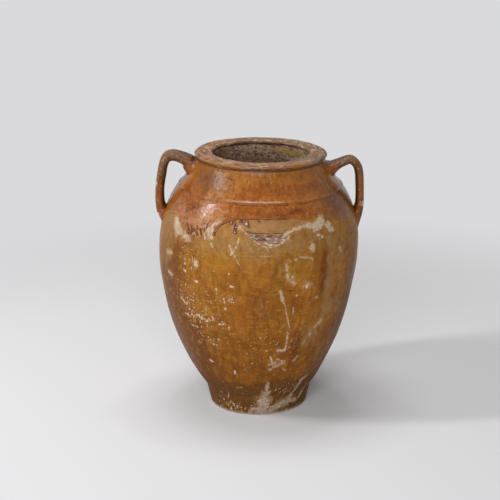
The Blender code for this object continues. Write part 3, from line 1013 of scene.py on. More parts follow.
def fitted(piece: Piece, node: Node) -> Piece:
    """Puts a piece on the jar in place of its solid, and says how far their boxes differ.

    Args:
        piece: the finished mesh object.
        node: the solid that it stands for.

    Returns:
        The same object.
    """
    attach(piece, ROOT_BODY)
    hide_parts(node.value)
    corners = np.zeros(len(piece.data.vertices) * 3, np.float32)
    piece.data.vertices.foreach_get("co", corners)
    corners = corners.reshape(-1, 3)
    low, high = (np.array(corner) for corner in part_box(node.value))
    gap = np.abs(np.concatenate([corners.min(0) - low, corners.max(0) - high])).max() / MM
    faces = len(piece.data.polygons)
    LOG.info("%s: %d faces, %.1f mm from its solid's box", piece.name, faces, gap)
    return piece


TURNS = np.linspace(-math.pi, math.pi, COLUMNS, endpoint=False)
LINING_LUMPS = Lumps((0.07, 0.07, 0.03), 32, 0.5 * MM)
FINGER_PITCH = 0.0095
FINGER_SWAY = Lumps(0.12, 31, 1.5)


def level_loop(radius: float, height: float) -> Array:
    """A level round loop of vertices."""
    return around(np.full(COLUMNS, radius), height, TURNS)


def blank_fields(size: int) -> Marks:
    """Fields for a loop that carries no marks."""
    return {mark: np.zeros(size) for mark in Mark}


def by_loop(marks: Marks, count: int) -> list[Marks]:
    """Splits the fields of a whole skin into those of its loops."""
    split = {mark: values.reshape(count, -1) for mark, values in marks.items()}
    return [{mark: values[i] for mark, values in split.items()} for i in range(count)]


def lining_points(height: float) -> Array:
    """The inner skin, with the soft ridges of the potter's fingers.

    Args:
        height: metres up.

    Returns:
        A loop of vertices.
    """
    smooth = level_loop(at(FORM.lining, height), height)
    spiral = height / FINGER_PITCH * math.tau + TURNS
    ridges = 0.35 * MM * np.sin(spiral + FINGER_SWAY.on(smooth)) + LINING_LUMPS.on(smooth)
    return around(np.hypot(smooth[:, 0], smooth[:, 1]) + ridges, height, TURNS)


def joint_middle(height: float, lift: float) -> Array:
    """The bottom of the V groove in the middle of the wall, or the tongue that sits in it."""
    middle = (at(FORM.skin, height) + at(FORM.lining, height)) / 2
    return level_loop(middle, height - FORM.groove + lift)


@dataclass(frozen=True)
class ThrownRing:
    """One thrown ring of the wall, from the joint below it to the joint above it."""

    node: Node
    slot: Slot
    low: float
    high: float
    row_step: float = ROW_STEP
    splash_turn: float = 149.0
    splash_half: Span = (19.0, 0.0065)
    # Heights between which painted shade darkens the lining under the rim's overhang
    rim_shade_band: Span = (0.595, 0.602)
    rim_shade_fray: Lumps = Lumps(0.02, 34, 0.002)

    def outer_loops(self) -> tuple[list[Array], list[Marks]]:
        """The outer skin.

        Returns:
            Its loops from the bottom up, and their fields.
        """
        rows = max(round((self.high - self.low) / self.row_step), 2) + 1
        turn, height = np.meshgrid(TURNS, np.linspace(self.low, self.high, rows))
        turn, height = turn.ravel(), height.ravel()
        radius = self.skin_radius(height)
        grid = WallGrid(np.degrees(turn), height, around(radius, height, turn))
        marks = WEATHERING.marks(grid)
        radius = radius + RELIEF.thrown(grid) + RELIEF.coated(grid, marks)
        if self.node is Node.UPPER_RING:
            depth = RELIEF.flake(grid)
            half = (FORM.skin(height) - FORM.lining(height)) / 2
            top = height >= self.high - LEVEL_SLACK
            radius = radius - depth
            height = height - np.where(top, FORM.groove * depth / half, 0)
        points = around(radius, height, turn).reshape(rows, COLUMNS, 3)
        return list(points), by_loop(marks, rows)

    def skin_radius(self, height: Array) -> Array:
        """The smooth outline, rounded under where the foot meets the ground."""
        tuck = np.clip(1 - height / FORM.foot_edge, 0, 1)
        return FORM.skin(height) - FORM.foot_edge * (1 - np.sqrt(1 - tuck**2))

    def lining_loops(self) -> list[Array]:
        """The inner skin's loops from the top down."""
        rows = max(round((self.high - self.low) / LINING_ROW_STEP), 2) + 1
        return [lining_points(h) for h in np.linspace(self.high, self.low, rows)]

    def splash(self, loop: Array) -> Marks:
        """Marks the inside: a run of honey glaze at the back, and painted shade under the rim.

        Args:
            loop: the vertices of a loop of the lining.

        Returns:
            Its fields.
        """
        marks = blank_fields(COLUMNS)
        turn = (np.degrees(TURNS) + 360) % 360
        middle = 0.583 + 0.0001 * (turn - 150)
        across, up = self.splash_half
        run = bell(turn, self.splash_turn, across) * bell(loop[:, 2] - middle, 0, up)
        marks[Mark.TONE] = run
        marks[Mark.WEAR] = eased(loop[:, 2] + self.rim_shade_fray.on(loop), *self.rim_shade_band)
        return marks

    def build(self, skin: Finish, inside: Finish) -> Piece:
        """Makes the ring as one closed piece.

        Args:
            skin: the finish of its outer skin.
            inside: the finish of its lining and its joints.

        Returns:
            The piece, on the jar.
        """
        outer, fields = self.outer_loops()
        inner = self.lining_loops()
        groove, tongue = joint_middle(self.high, 0), joint_middle(self.low, FORM.lute_gap)
        blank = blank_fields(COLUMNS)
        loft = Loft(
            [FORM.settle(loop) for loop in [*outer, groove, *inner, tongue]],
            [*fields, blank, *(self.splash(loop) for loop in inner), blank],
            [True] * len(outer) + [False] * (len(inner) + 2),
        )
        piece = loft.build(f"glazed_{self.node.value}", [skin, inside])
        return fitted(piece, self.node)


@dataclass(frozen=True)
class FloorSlab:
    """The beaten clay slab that the jar stands on, with the worn edge of the foot."""

    shares: tuple[float, ...] = (0.12, 0.3, 0.5, 0.7, 0.85, 0.95)
    hollow: float = 0.35 * MM
    floor_lumps: Lumps = Lumps(0.03, 33, 0.8 * MM)
    floor_rings: float = 0.5 * MM

    def under(self, reach: Array) -> list[Array]:
        """The underside's loops from the middle out, very slightly hollow."""
        levels = [np.full(COLUMNS, self.hollow * (1 - share**6)) for share in self.shares]
        return [np.column_stack([reach * s, level]) for s, level in zip(self.shares, levels)]

    def floor(self) -> list[Array]:
        """The floor inside, beaten uneven towards its middle.

        Returns:
            Its loops from the wall in.
        """
        loops = []
        for share in (1.0, *self.shares[::-1]):
            loop = level_loop(at(FORM.lining, FORM.floor_top) * share, FORM.floor_top)
            loop[:, 2] += (1 - share) * self.floor_lumps.on(loop)
            loop[:, 2] += self.floor_rings * (1 - share) * np.sin(share * 40)
            loops.append(loop)
        return loops

    def build(self, skin: Finish, inside: Finish) -> Piece:
        """Makes the slab as one closed piece.

        Args:
            skin: the finish of its outer edge.
            inside: the finish of its underside and of the floor inside.

        Returns:
            The piece, on the jar.
        """
        edge = ThrownRing(Node.BASE_SLAB, Slot.BARE_CLAY, 0.0, FORM.floor_top)
        outer, fields = edge.outer_loops()
        under = self.under(outer[0][:, :2])
        inner = [joint_middle(FORM.floor_top, 0), *self.floor()]
        blank = blank_fields(COLUMNS)
        loft = Loft(
            under + outer + inner,
            [blank] * len(under) + fields + [blank] * len(inner),
            [False] * len(under) + [True] * len(outer) + [False] * len(inner),
            ring=False,
            ends=(np.array([0, 0, self.hollow]), np.array([0, 0, FORM.floor_top])),
        )
        piece = loft.build("clay_base_slab", [skin, inside])
        return fitted(piece, Node.BASE_SLAB)


@dataclass(frozen=True)
class FlatRim:
    """The flat rim that overhangs the neck on both sides, worn and flaked all over."""

    radius: float = 0.155
    mouth: float = 0.113
    outer_round: float = 0.0045
    inner_round: float = 0.005
    crown: float = 0.0008
    flat_steps: int = 16
    round_steps: int = 6
    seat_steps: int = 5
    broad_wear: Lumps = Lumps((0.07, 0.07, 0.05), 41, 0.75 * MM)
    small_wear: Lumps = Lumps(0.016, 42, 0.35 * MM)
    flaking: Lumps = Lumps((0.03, 0.03, 0.006), 43, 2.2)
    flake_step: float = 0.45 * MM
    grit: Lumps = Lumps(0.006, 44, 0.3 * MM)
    nicks: Lumps = Lumps(0.018, 45)
    nick_depth: float = 5.0 * MM
    broken_corner: float = 3.2 * MM
    broken_turn: Span = (-82, 30)
    worn_corner: float = 2.4 * MM
    corner_lumps: Lumps = Lumps(0.06, 48)
    shade_lumps: Lumps = Lumps(0.03, 46, 0.35)
    glaze_lumps: Lumps = Lumps(0.022, 47)
    grey_lumps: Lumps = Lumps(0.05, 49, 0.3)

    def section(self) -> Array:
        """The rim's closed section.

        Returns:
            Its (radius, height) rows, from the outer joint round.
        """
        under, top = FORM.neck_top + FORM.lute_gap, FORM.rim_top - self.crown
        seat_outer, seat_inner = at(FORM.skin, FORM.neck_top), at(FORM.lining, FORM.neck_top)
        start, end = self.radius - self.outer_round, self.mouth + self.inner_round
        rows = [(seat_outer, FORM.neck_top), (seat_outer + 0.8 * MM, under)]
        rows += self._arc((start, under + self.outer_round), self.outer_round, -90)
        rows += self._arc((start, top - self.outer_round), self.outer_round, 0)
        for share in np.arange(1, self.flat_steps) / self.flat_steps:
            rise = self.crown * math.sin(math.pi * share)
            rows.append((start + (end - start) * share, top + rise))
        rows += self._arc((end, top - self.inner_round), self.inner_round, 90)
        rows += self._arc((end, under + self.inner_round), self.inner_round, 180)
        for step in range(1, self.seat_steps):
            rows.append((end + (seat_inner - end) * step / self.seat_steps, under))
        rows.append((seat_inner, FORM.neck_top))
        tongue = FORM.neck_top - FORM.groove + FORM.lute_gap
        rows.append(((seat_outer + seat_inner) / 2, tongue))
        return np.array(rows)

    def _arc(self, centre: Place, radius: float, start: float) -> list[Place]:
        """A quarter turn of the section, anticlockwise from a start in degrees."""
        turns = np.radians(start + 90 * np.arange(self.round_steps + 1) / self.round_steps)
        return [(centre[0] + radius * math.cos(a), centre[1] + radius * math.sin(a)) for a in turns]

    def wear(self, smooth: Array, out: float, up: float) -> Array:
        """How time changed the surface: lumps, flaked layers, grit, nicks and rubbed corners.

        Args:
            smooth: the vertices of a loop of the new rim.
            out: how far its surface faces outwards.
            up: how far it faces up.

        Returns:
            Metres outwards at each vertex.
        """
        flaked = np.floor(self.flaking.on(smooth)) / self.flaking.amount
        wear = self.broad_wear.on(smooth) + self.small_wear.on(smooth)
        wear = wear + self.flake_step * flaked + self.grit.on(smooth)
        corner = max(out, 0) * max(up, 0)
        nicks = np.clip(self.nicks.on(smooth) - 0.45, 0, 1)
        broken = bell(np.degrees(TURNS), *self.broken_turn)
        wear = wear - self.nick_depth * corner * nicks - self.broken_corner * corner * broken
        return wear - self.worn_corner * corner * (1 + self.corner_lumps.on(smooth))

    def marks(self, smooth: Array, radius: float, height: float, up: float) -> Marks:
        """Marks a loop: painted shade in the mouth and on faces that turn down, drops of glaze, and
        grey weathering.

        Args:
            smooth: the loop's vertices on the new rim.
            radius: the loop's radius.
            height: its height.
            up: how far its surface faces up.

        Returns:
            Its fields.
        """
        degrees = np.degrees(TURNS)
        # Painted shade at the foot of the mouth and on the faces that turn down
        edge = float(eased(radius, self.mouth + 0.007, self.mouth + 0.002))
        shaded = edge * float(eased(height, FORM.rim_top - 0.0072, FORM.rim_top - 0.01))
        shaded = max(1.3 * shaded, 0.9 * float(eased(-up, 0.25, 0.7)))
        drops = bell(degrees, -42, 22) * eased(radius, 0.149, 0.1535) * (1.3 - 0.6 * up)
        drops = drops + 0.9 * bell(degrees, 33, 11) * eased(radius, 0.138, 0.15)
        drops = drops + 0.8 * eased(self.glaze_lumps.on(smooth), 0.35, 0.7) * max(-up, 0.15)
        grey = np.clip(0.5 - 0.5 * np.cos(np.radians(degrees + 40)), 0, 1)
        marks = blank_fields(COLUMNS)
        marks[Mark.WEAR] = np.clip(shaded * (0.65 + self.shade_lumps.on(smooth)), 0, 1)
        marks[Mark.TONE] = np.clip(drops, 0, 1)
        marks[Mark.FADED] = np.clip(grey + self.grey_lumps.on(smooth), 0, 1)
        return marks

    def build(self, finish: Finish) -> Piece:
        """Makes the rim as one closed piece.

        Args:
            finish: the worn clay all over it.

        Returns:
            The piece, on the jar.
        """
        section = self.section()
        ahead = np.roll(section, -1, 0) - np.roll(section, 1, 0)
        normals = unit(np.stack([ahead[:, 1], -ahead[:, 0]], 1))
        loops, fields = [], []
        for (radius, height), (out, up) in zip(section, normals):
            smooth = level_loop(radius, height)
            free = 0.0 if height <= FORM.neck_top + LEVEL_SLACK else 1.0
            shift = free * (self.wear(smooth, out, up) - 0.5 * MM)
            loop = around(radius + shift * out, 0.0, TURNS)
            loop[:, 2] = height + shift * np.where(up > 0, up, up * 0.3)
            loops.append(FORM.settle(loop))
            fields.append(self.marks(smooth, radius, height, up))
        piece = Loft(loops, fields, [True] * len(loops)).build("worn_rim", [finish])
        return fitted(piece, Node.RIM)


LEFT_ROUTE_SHARES = np.array([
    (-0.4, 0.725, 1, 0), (0, 0.815, 1, 0), (0.14, 0.897, 0.4, 0.5), (0.34, 0.955, 0.06, 1),
    (0.58, 0.99, 0, 1), (0.79, 0.955, 0, 0.8), (0.895, 0.83, 0, 0), (0.955, 0.64, 0, 0),
    (1, 0.455, 0, 0), (1.008, 0.287, 0, 0), (0.985, 0.13, 0, 0), (0.905, -0.01, 0.15, 0),
    (0.66, -0.16, 0.3, 0),
])
RIGHT_ROUTE_SHARES = np.array([
    (-0.4, 0.78, 1, 0), (0, 0.85, 1, 0), (0.18, 0.9, 0.45, 0.6), (0.4, 0.955, 0.05, 1),
    (0.65, 0.995, 0, 1), (0.845, 0.925, 0, 0.6), (0.94, 0.8, 0, 0), (0.98, 0.6, 0, 0),
    (1, 0.4, 0, 0), (0.995, 0.25, 0.05, 0), (0.94, 0.08, 0.15, 0), (0.82, -0.1, 0.35, 0),
    (0.66, -0.24, 0.5, 0),
])


@dataclass(frozen=True)
class StrapHandle:
    """A pulled strap of clay, pressed on to the neck and the shoulder and smeared in with slip."""

    node: Node
    side: Side
    route_shares: Array
    width: float
    leg: float
    arch: float
    root: float
    arch_drop: float
    root_drop: float
    standoff: float
    worn_above: float
    seed: int
    pale_spots: tuple[tuple[Spot, float], ...] = ()
    squareness: float = 2.5
    channels: tuple[Spot, ...] = ((0.13, 0.3, 0.17), (0.1, -0.28, 0.19))
    root_spread_share: float = 0.28
    smear: float = 0.01
    smear_share: float = 0.55
    sink: float = 0.003
    thumb_depth: float = 0.003
    steps_a_row: int = 14
    stations: int = 190
    corners: int = 64

    def route(self) -> Array:
        """The way that the strap takes from the neck over its arch to the shoulder.

        Returns:
            One row of x, height, half thickness and half width for each step.
        """
        rows = self.route_shares
        last = len(rows) - 1
        steps = np.linspace(0, last, last * self.steps_a_row + 1)
        i = np.minimum(steps.astype(int), last - 1)
        t = (steps - i)[:, None]
        before, start = rows[np.maximum(i - 1, 0)], rows[i]
        end, after = rows[i + 1], rows[np.minimum(i + 2, last)]
        bend = t * (1 - t) * ((1 - t) * (end - before) / 2 - t * (after - start) / 2)
        out, up, rooted, arched = (start + ease(t) * (end - start) + bend).T
        foot = FORM.upper_top - self.root_drop
        span = FORM.rim_top - self.arch_drop - foot
        neck = at(FORM.skin, foot + span * float(next(row[1] for row in rows if row[0] == 0)))
        reach = at(FORM.skin, foot) + self.standoff - neck
        thick = self.leg + rooted * (self.root - self.leg) + arched * (self.arch - self.leg)
        broad = self.width * (1 + rooted * self.root_spread_share)
        return np.column_stack([neck + reach * out, foot + span * up, thick / 2, broad / 2])

    def strap(self) -> tuple[Array, Array]:
        """The strap while it still runs on into the wall.

        Returns:
            Its surface as stations by corners, and its centreline.
        """
        route = self.route()
        centres = np.column_stack([route[:, 0], np.zeros(len(route)), route[:, 1]])
        ahead = np.gradient(route[:, :2], axis=0)
        across = unit(np.stack([ahead[:, 1], -ahead[:, 0]], 1))
        turns = np.linspace(0, math.tau, self.corners, endpoint=False)
        c, s = np.cos(turns), np.sin(turns)
        power = self.squareness
        bulge = (np.abs(c) ** power + np.abs(s) ** power) ** (-1 / power)
        dents = sum(depth * bell(s, middle, half) for depth, middle, half in self.channels)
        channel = 1 - np.clip(-c, 0, 1) ** 2 * dents
        deep = route[:, 2][:, None] * (bulge * c * channel)[None, :]
        wide = route[:, 3][:, None] * (bulge * s)[None, :]
        x = centres[:, 0][:, None] + across[:, 0][:, None] * deep
        z = centres[:, 2][:, None] + across[:, 1][:, None] * deep
        return np.stack([x, wide, z], axis=-1), centres

    def trimmed(self) -> tuple[Array, Array]:
        """Ends the strap just under the wall's skin.

        Returns:
            Its surface as stations by corners, and its centreline at the same stations.
        """
        points, centres = self.strap()
        even = np.linspace(0, 1, self.stations)
        shares = 0.35 * (1 - np.cos(np.linspace(0, math.pi, self.stations))) / 2 + 0.65 * even
        lines, middles = [], []
        index = np.arange(len(points))
        for corner in range(self.corners):
            line = points[:, corner]
            depth, _ = FORM.outside(line)
            depth = np.where(line[:, 2] > FORM.neck_top, np.hypot(line[:, 0], line[:, 1]), depth)
            depth = depth + self.sink
            out = np.nonzero(depth > 0)[0]
            first, last = out[0], out[-1]
            start = first - depth[first] / max(depth[first] - depth[first - 1], 1e-9)
            end = last + depth[last] / max(depth[last] - depth[last + 1], 1e-9)
            where = start + (end - start) * shares
            for found, track in ((lines, line), (middles, centres)):
                found.append(np.stack([np.interp(where, index, axis) for axis in track.T], -1))
        return np.stack(lines, 1), np.stack(middles, 1)

    def smeared(self, points: Array, middle: Array, along: Array) -> Array:
        """Spreads the roots over the wall, as slip and a thumb do.

        Args:
            points: the strap's surface.
            middle: its centreline beside each point.
            along: the share of the way along the strap.

        Returns:
            The surface with its roots spread.
        """
        depth, normal = FORM.outside(points)
        away = points - middle
        away = unit(away - (away * normal).sum(1)[:, None] * normal)
        near = np.clip(1 - np.clip(depth, -self.sink, None) / self.smear, 0, None)
        near = near * (np.abs(along - 0.5) > 0.2)
        uneven = 1 + Lumps(0.02, self.seed, 0.35).on(points)
        points = points + away * (self.smear * self.smear_share * near**2 * uneven)[:, None]
        now, normal = FORM.outside(points)
        return points + normal * np.where(near > 0, depth - now, 0)[:, None]

    def build(self, finish: Finish) -> Piece:
        """Makes the handle as one closed piece whose ends lie just under the wall's skin.

        Args:
            finish: the worn glaze all over it.

        Returns:
            The piece, on the jar.
        """
        grid, middles = self.trimmed()
        shape = grid.shape
        points, middle = grid.reshape(-1, 3), middles.reshape(-1, 3)
        depth, _ = FORM.outside(points)
        along = np.repeat(np.linspace(0, 1, self.stations), self.corners)
        points = self.smeared(points, middle, along)
        lumps = Lumps((0.03, 0.03, 0.04), self.seed + 1, 0.55 * MM).on(points)
        lumps = lumps + Lumps(0.009, self.seed + 2, 0.22 * MM).on(points)
        outwards = unit(points - middle)
        points = points + outwards * (lumps * np.clip(depth / 0.004, 0, 1))[:, None]
        points = self.thumbed(points, along, outwards)
        settled = FORM.settle(points * np.array([self.side.value, 1, 1]))
        if self.side is Side.LEFT:
            settled, outwards = (
                found.reshape(shape)[:, ::-1].reshape(-1, 3) for found in (settled, outwards)
            )
        loops = list(settled.reshape(shape))
        ends = (loops[0].mean(0), loops[-1].mean(0))
        fields = self.marks(settled, outwards)
        loft = Loft(loops, fields, [True] * self.stations, ring=False, ends=ends)
        piece = loft.build(f"pulled_{self.node.value}", [finish])
        return fitted(piece, self.node)

    def thumbed(self, points: Array, along: Array, outwards: Array) -> Array:
        """Presses a thumb into the outer face just above the lower root.

        Args:
            points: the strap's surface.
            along: the share of the way along the strap.
            outwards: the direction out of the strap.

        Returns:
            The surface with the print in it.
        """
        face = np.clip(outwards[:, 0], 0, 1)
        press = bell(along, 0.93, 0.035) * bell(points[:, 1], 0, self.width / 4) * face
        return points - outwards * (self.thumb_depth * press)[:, None]

    def marks(self, points: Array, outwards: Array) -> list[Marks]:
        """Marks the strap: where its glaze is worn or red, painted shade on its inner face, and
        pale spots.

        Args:
            points: the settled surface.
            outwards: the direction out of the strap.

        Returns:
            The fields of each loop.
        """
        from_axis = np.abs(points[:, 0] - FORM.slide)
        clear = eased(from_axis - FORM.skin(np.minimum(points[:, 2], FORM.neck_top)), 0.003, 0.045)
        height = points[:, 2] + Lumps(0.022, self.seed + 3, 0.012).on(points)
        wear = eased(height, self.worn_above - 0.014, self.worn_above + 0.014)
        exposed = np.clip(0.45 + 0.55 * outwards[:, 2] + 0.3 * outwards[:, 0], 0, 1)
        wear = wear * exposed * clear + Lumps(0.01, self.seed + 4, 0.12).on(points)
        tone = -eased(points[:, 2], self.worn_above, self.worn_above - 0.034)
        tone = np.minimum(tone, 0.6 * (clear - 1)) + Lumps(0.03, self.seed + 5, 0.3).on(points)
        # Painted shade on the inner face that turns towards the jar
        inner = eased(-outwards[:, 0], 0.05, 0.55) * eased(points[:, 2], 0.47, 0.5)
        lime = np.full(len(points), FAR_OUTSIDE_SHARE)
        for spot, size in self.pale_spots:
            lime = np.maximum(lime, 1 - np.linalg.norm(points - np.array(spot), axis=1) / size)
        whole = blank_fields(len(points)) | {
            Mark.LIME: lime,
            Mark.WEAR: np.clip(wear, 0, 1),
            Mark.TONE: np.clip(tone, -1, 1),
            Mark.DEEP: np.clip(inner, 0, 1),
        }
        return by_loop(whole, self.stations)


# ---- finishes ----


def add_node(
    tree: Tree, kind: str, inputs: Inputs, output: str | int = 0, **settings: Any
) -> Socket | None:
    """Adds a shader node.

    Args:
        tree: the node tree that it goes into.
        kind: the node's type name, after ShaderNode.
        inputs: for each input, a socket to link or a value to set.
        output: the output that is wanted.
        **settings: the node's own properties.

    Returns:
        That output's socket, or None for a node without outputs.
    """
    node = tree.nodes.new("ShaderNode" + kind)
    for key, value in settings.items():
        setattr(node, key, value)
    for key, value in inputs.items():
        if isinstance(value, Socket):
            tree.links.new(value, node.inputs[key])
        else:
            node.inputs[key].default_value = value
    return node.outputs[output] if len(node.outputs) else None


def empty_tree(owner: Any) -> Tree:
    """The node tree of a material or a world, with nothing in it yet."""
    owner.use_nodes = True
    owner.node_tree.nodes.clear()
    return owner.node_tree


# The colour sockets of a Mix node
MIX_A, MIX_B, MIX_OUT = 6, 7, 2
MEAN_NOISE = 0.5
OCTAVE_SHARE = 0.55
# The part of a noise over which one hue turns into another
BASE_SPREAD = (0.34, 0.66)
MOTTLE_SPREAD = (0.36, 0.64)
# The first glaze has worn duller than the red coat
DULLED_SPECULAR = 0.13


class Flow(Enum):
    """Which way a pattern's grain is laid out on the jar."""

    SPACE = "space"
    WALL = "wall"
    RIM = "rim"


Ways = dict[Flow, tuple[Socket, Socket | None]]


@dataclass(frozen=True)
class Grain:
    """A pattern of lumps with real sizes in millimetres.

    In space the sizes are the lumps' width and height. On the wall they run round it and up it, and
    on the rim along it and across it.
    """

    width: float
    height: float
    detail: float = 3.0
    flow: Flow = Flow.SPACE


@dataclass(frozen=True)
class Layer:
    """One layer of a weathered surface, laid where gain * field + noise is above a value."""

    hue: str
    second_hue: str
    fray: Grain
    mark: Mark | None = None
    gain: float = 1.0
    fray_by: float = 1.0
    above: float = 0.0
    edge: float = 0.5
    mottle: Grain = Grain(12, 12)
    cover: float = 1.0
    roughness: float | None = None
    lift_mm: float = 0.0
    strength: Mark | None = None
    within: Mark | None = None


@dataclass
class Surface:
    """The sockets that a finish builds up: colour, roughness, and height in millimetres."""

    tree: Tree
    places: Ways
    colour: Socket | None = None
    roughness: Socket | None = None
    height: Socket | float = 0.0

    def grain(self, grain: Grain) -> Socket:
        """Adds the noise of a grain.

        Args:
            grain: its sizes and its flow.

        Returns:
            The noise, from 0 to 1 about a mean of a half.
        """
        place, across = self.places[grain.flow]
        scale = [1 / (size * MM) for size in (grain.width, grain.width, grain.height)]
        spread = add_node(self.tree, "VectorMath", {0: place, 1: scale}, operation="MULTIPLY")
        inputs = {"Vector": spread, "Scale": 1.0, "Detail": grain.detail, "Roughness": OCTAVE_SHARE}
        if across is None:
            return add_node(self.tree, "TexNoise", inputs)
        inputs["W"] = add_node(self.tree, "Math", {0: across, 1: scale[2]}, operation="MULTIPLY")
        return add_node(self.tree, "TexNoise", inputs, noise_dimensions="4D")

    def blend(self, noise: Socket, spread: Span, finish: Layer | FiredSurface) -> tuple:
        """Mixes two hues by a noise.

        Args:
            noise: the noise.
            spread: the part of it over which the first hue turns into the second.
            finish: what has the two hues.

        Returns:
            The share of the second hue, and the mixed colour.
        """
        share = add_node(
            self.tree, "MapRange", {"Value": noise, "From Min": spread[0], "From Max": spread[1]}
        )
        inputs = {0: share, MIX_A: linear(finish.hue), MIX_B: linear(finish.second_hue)}
        return share, add_node(self.tree, "Mix", inputs, MIX_OUT, data_type="RGBA")

    def mask(self, layer: Layer) -> Socket:
        """Works out where a layer lies.

        Args:
            layer: the layer.

        Returns:
            How much of it there is at each point, from 0 to 1.
        """
        inputs = {
            0: self.grain(layer.fray),
            1: layer.fray_by,
            2: -MEAN_NOISE * layer.fray_by - layer.above,
        }
        value = add_node(self.tree, "Math", inputs, operation="MULTIPLY_ADD")
        fields = {
            mark: add_node(self.tree, "Attribute", {}, "Fac", attribute_name=mark.value)
            for mark in (layer.mark, layer.strength, layer.within)
            if mark is not None
        }
        if layer.mark is not None:
            inputs = {0: fields[layer.mark], 1: layer.gain, 2: value}
            value = add_node(self.tree, "Math", inputs, operation="MULTIPLY_ADD")
        inputs = {"From Min": -layer.edge, "From Max": layer.edge, "To Max": layer.cover}
        inputs["Value"] = value
        value = add_node(self.tree, "MapRange", inputs, interpolation_type="SMOOTHSTEP")
        for mark, low, high in ((layer.strength, 0.0, 1.0), (layer.within, -0.4, 0.4)):
            if mark is not None:
                inputs = {"Value": fields[mark], "From Min": low, "From Max": high}
                share = add_node(self.tree, "MapRange", inputs)
                value = add_node(self.tree, "Math", {0: value, 1: share}, operation="MULTIPLY")
        return value

    def lay(self, layer: Layer) -> None:
        """Lays one more layer over what is there.

        Args:
            layer: the layer.
        """
        mask = self.mask(layer)
        _, hue = self.blend(self.grain(layer.mottle), MOTTLE_SPREAD, layer)
        inputs = {0: mask, MIX_A: self.colour, MIX_B: hue}
        self.colour = add_node(self.tree, "Mix", inputs, MIX_OUT, data_type="RGBA")
        if layer.roughness is not None:
            inputs = {0: mask, 2: self.roughness, 3: layer.roughness}
            self.roughness = add_node(self.tree, "Mix", inputs)
        if layer.lift_mm:
            self.raise_by(mask, layer.lift_mm)

    def raise_by(self, share: Socket, height_mm: float) -> None:
        """Raises the surface by a share of a height."""
        inputs = {0: share, 1: height_mm, 2: self.height}
        self.height = add_node(self.tree, "Math", inputs, operation="MULTIPLY_ADD")


@dataclass(frozen=True)
class FiredSurface:
    """A fired and weathered surface, built up in layers as the real one was."""

    title: str
    hue: str
    second_hue: str
    base_grain: Grain
    gloss: Span
    layers: tuple[Layer, ...]
    bumps: tuple[tuple[Grain, float], ...]
    wall_radius: float = 0.2
    specular: float = 0.35

    def places(self, tree: Tree) -> Ways:
        """Lays out the ways that a grain can run.

        Args:
            tree: the material's node tree.

        Returns:
            For each way, the place that a noise reads and, on the rim, how far out it is.
        """
        place = add_node(tree, "TexCoord", {}, "Object")
        level = add_node(tree, "VectorMath", {0: place, 1: (1, 1, 0)}, operation="MULTIPLY")
        radius = add_node(tree, "VectorMath", {0: level}, "Value", operation="LENGTH")
        turn = add_node(tree, "VectorMath", {0: level}, operation="NORMALIZE")
        inputs = {0: turn, "Scale": self.wall_radius}
        rolled = add_node(tree, "VectorMath", inputs, operation="SCALE")
        rise = add_node(tree, "VectorMath", {0: place, 1: (0, 0, 1)}, operation="MULTIPLY")
        wall = add_node(tree, "VectorMath", {0: rolled, 1: rise}, operation="ADD")
        return {Flow.SPACE: (place, None), Flow.WALL: (wall, None), Flow.RIM: (wall, radius)}

    def material(self) -> Finish:
        """Builds the node material.

        Returns:
            The material, with its base, then its layers, then the bump of its grain.
        """
        made = bpy.data.materials.new(self.title)
        tree = empty_tree(made)
        surface = Surface(tree, self.places(tree))
        base = surface.grain(self.base_grain)
        share, surface.colour = surface.blend(base, BASE_SPREAD, self)
        inputs: Inputs = {0: share, 2: self.gloss[0], 3: self.gloss[1]}
        surface.roughness = add_node(tree, "Mix", inputs)
        for layer in self.layers:
            surface.lay(layer)
        for grain, height_mm in self.bumps:
            surface.raise_by(surface.grain(grain), height_mm)
        inputs = {
            "Base Color": surface.colour,
            "Roughness": surface.roughness,
            "Specular IOR Level": self.specular,
            "Normal": add_node(tree, "Bump", {"Height": surface.height, "Distance": MM}),
        }
        shader = add_node(tree, "BsdfPrincipled", inputs)
        add_node(tree, "OutputMaterial", {"Surface": shader})
        return made


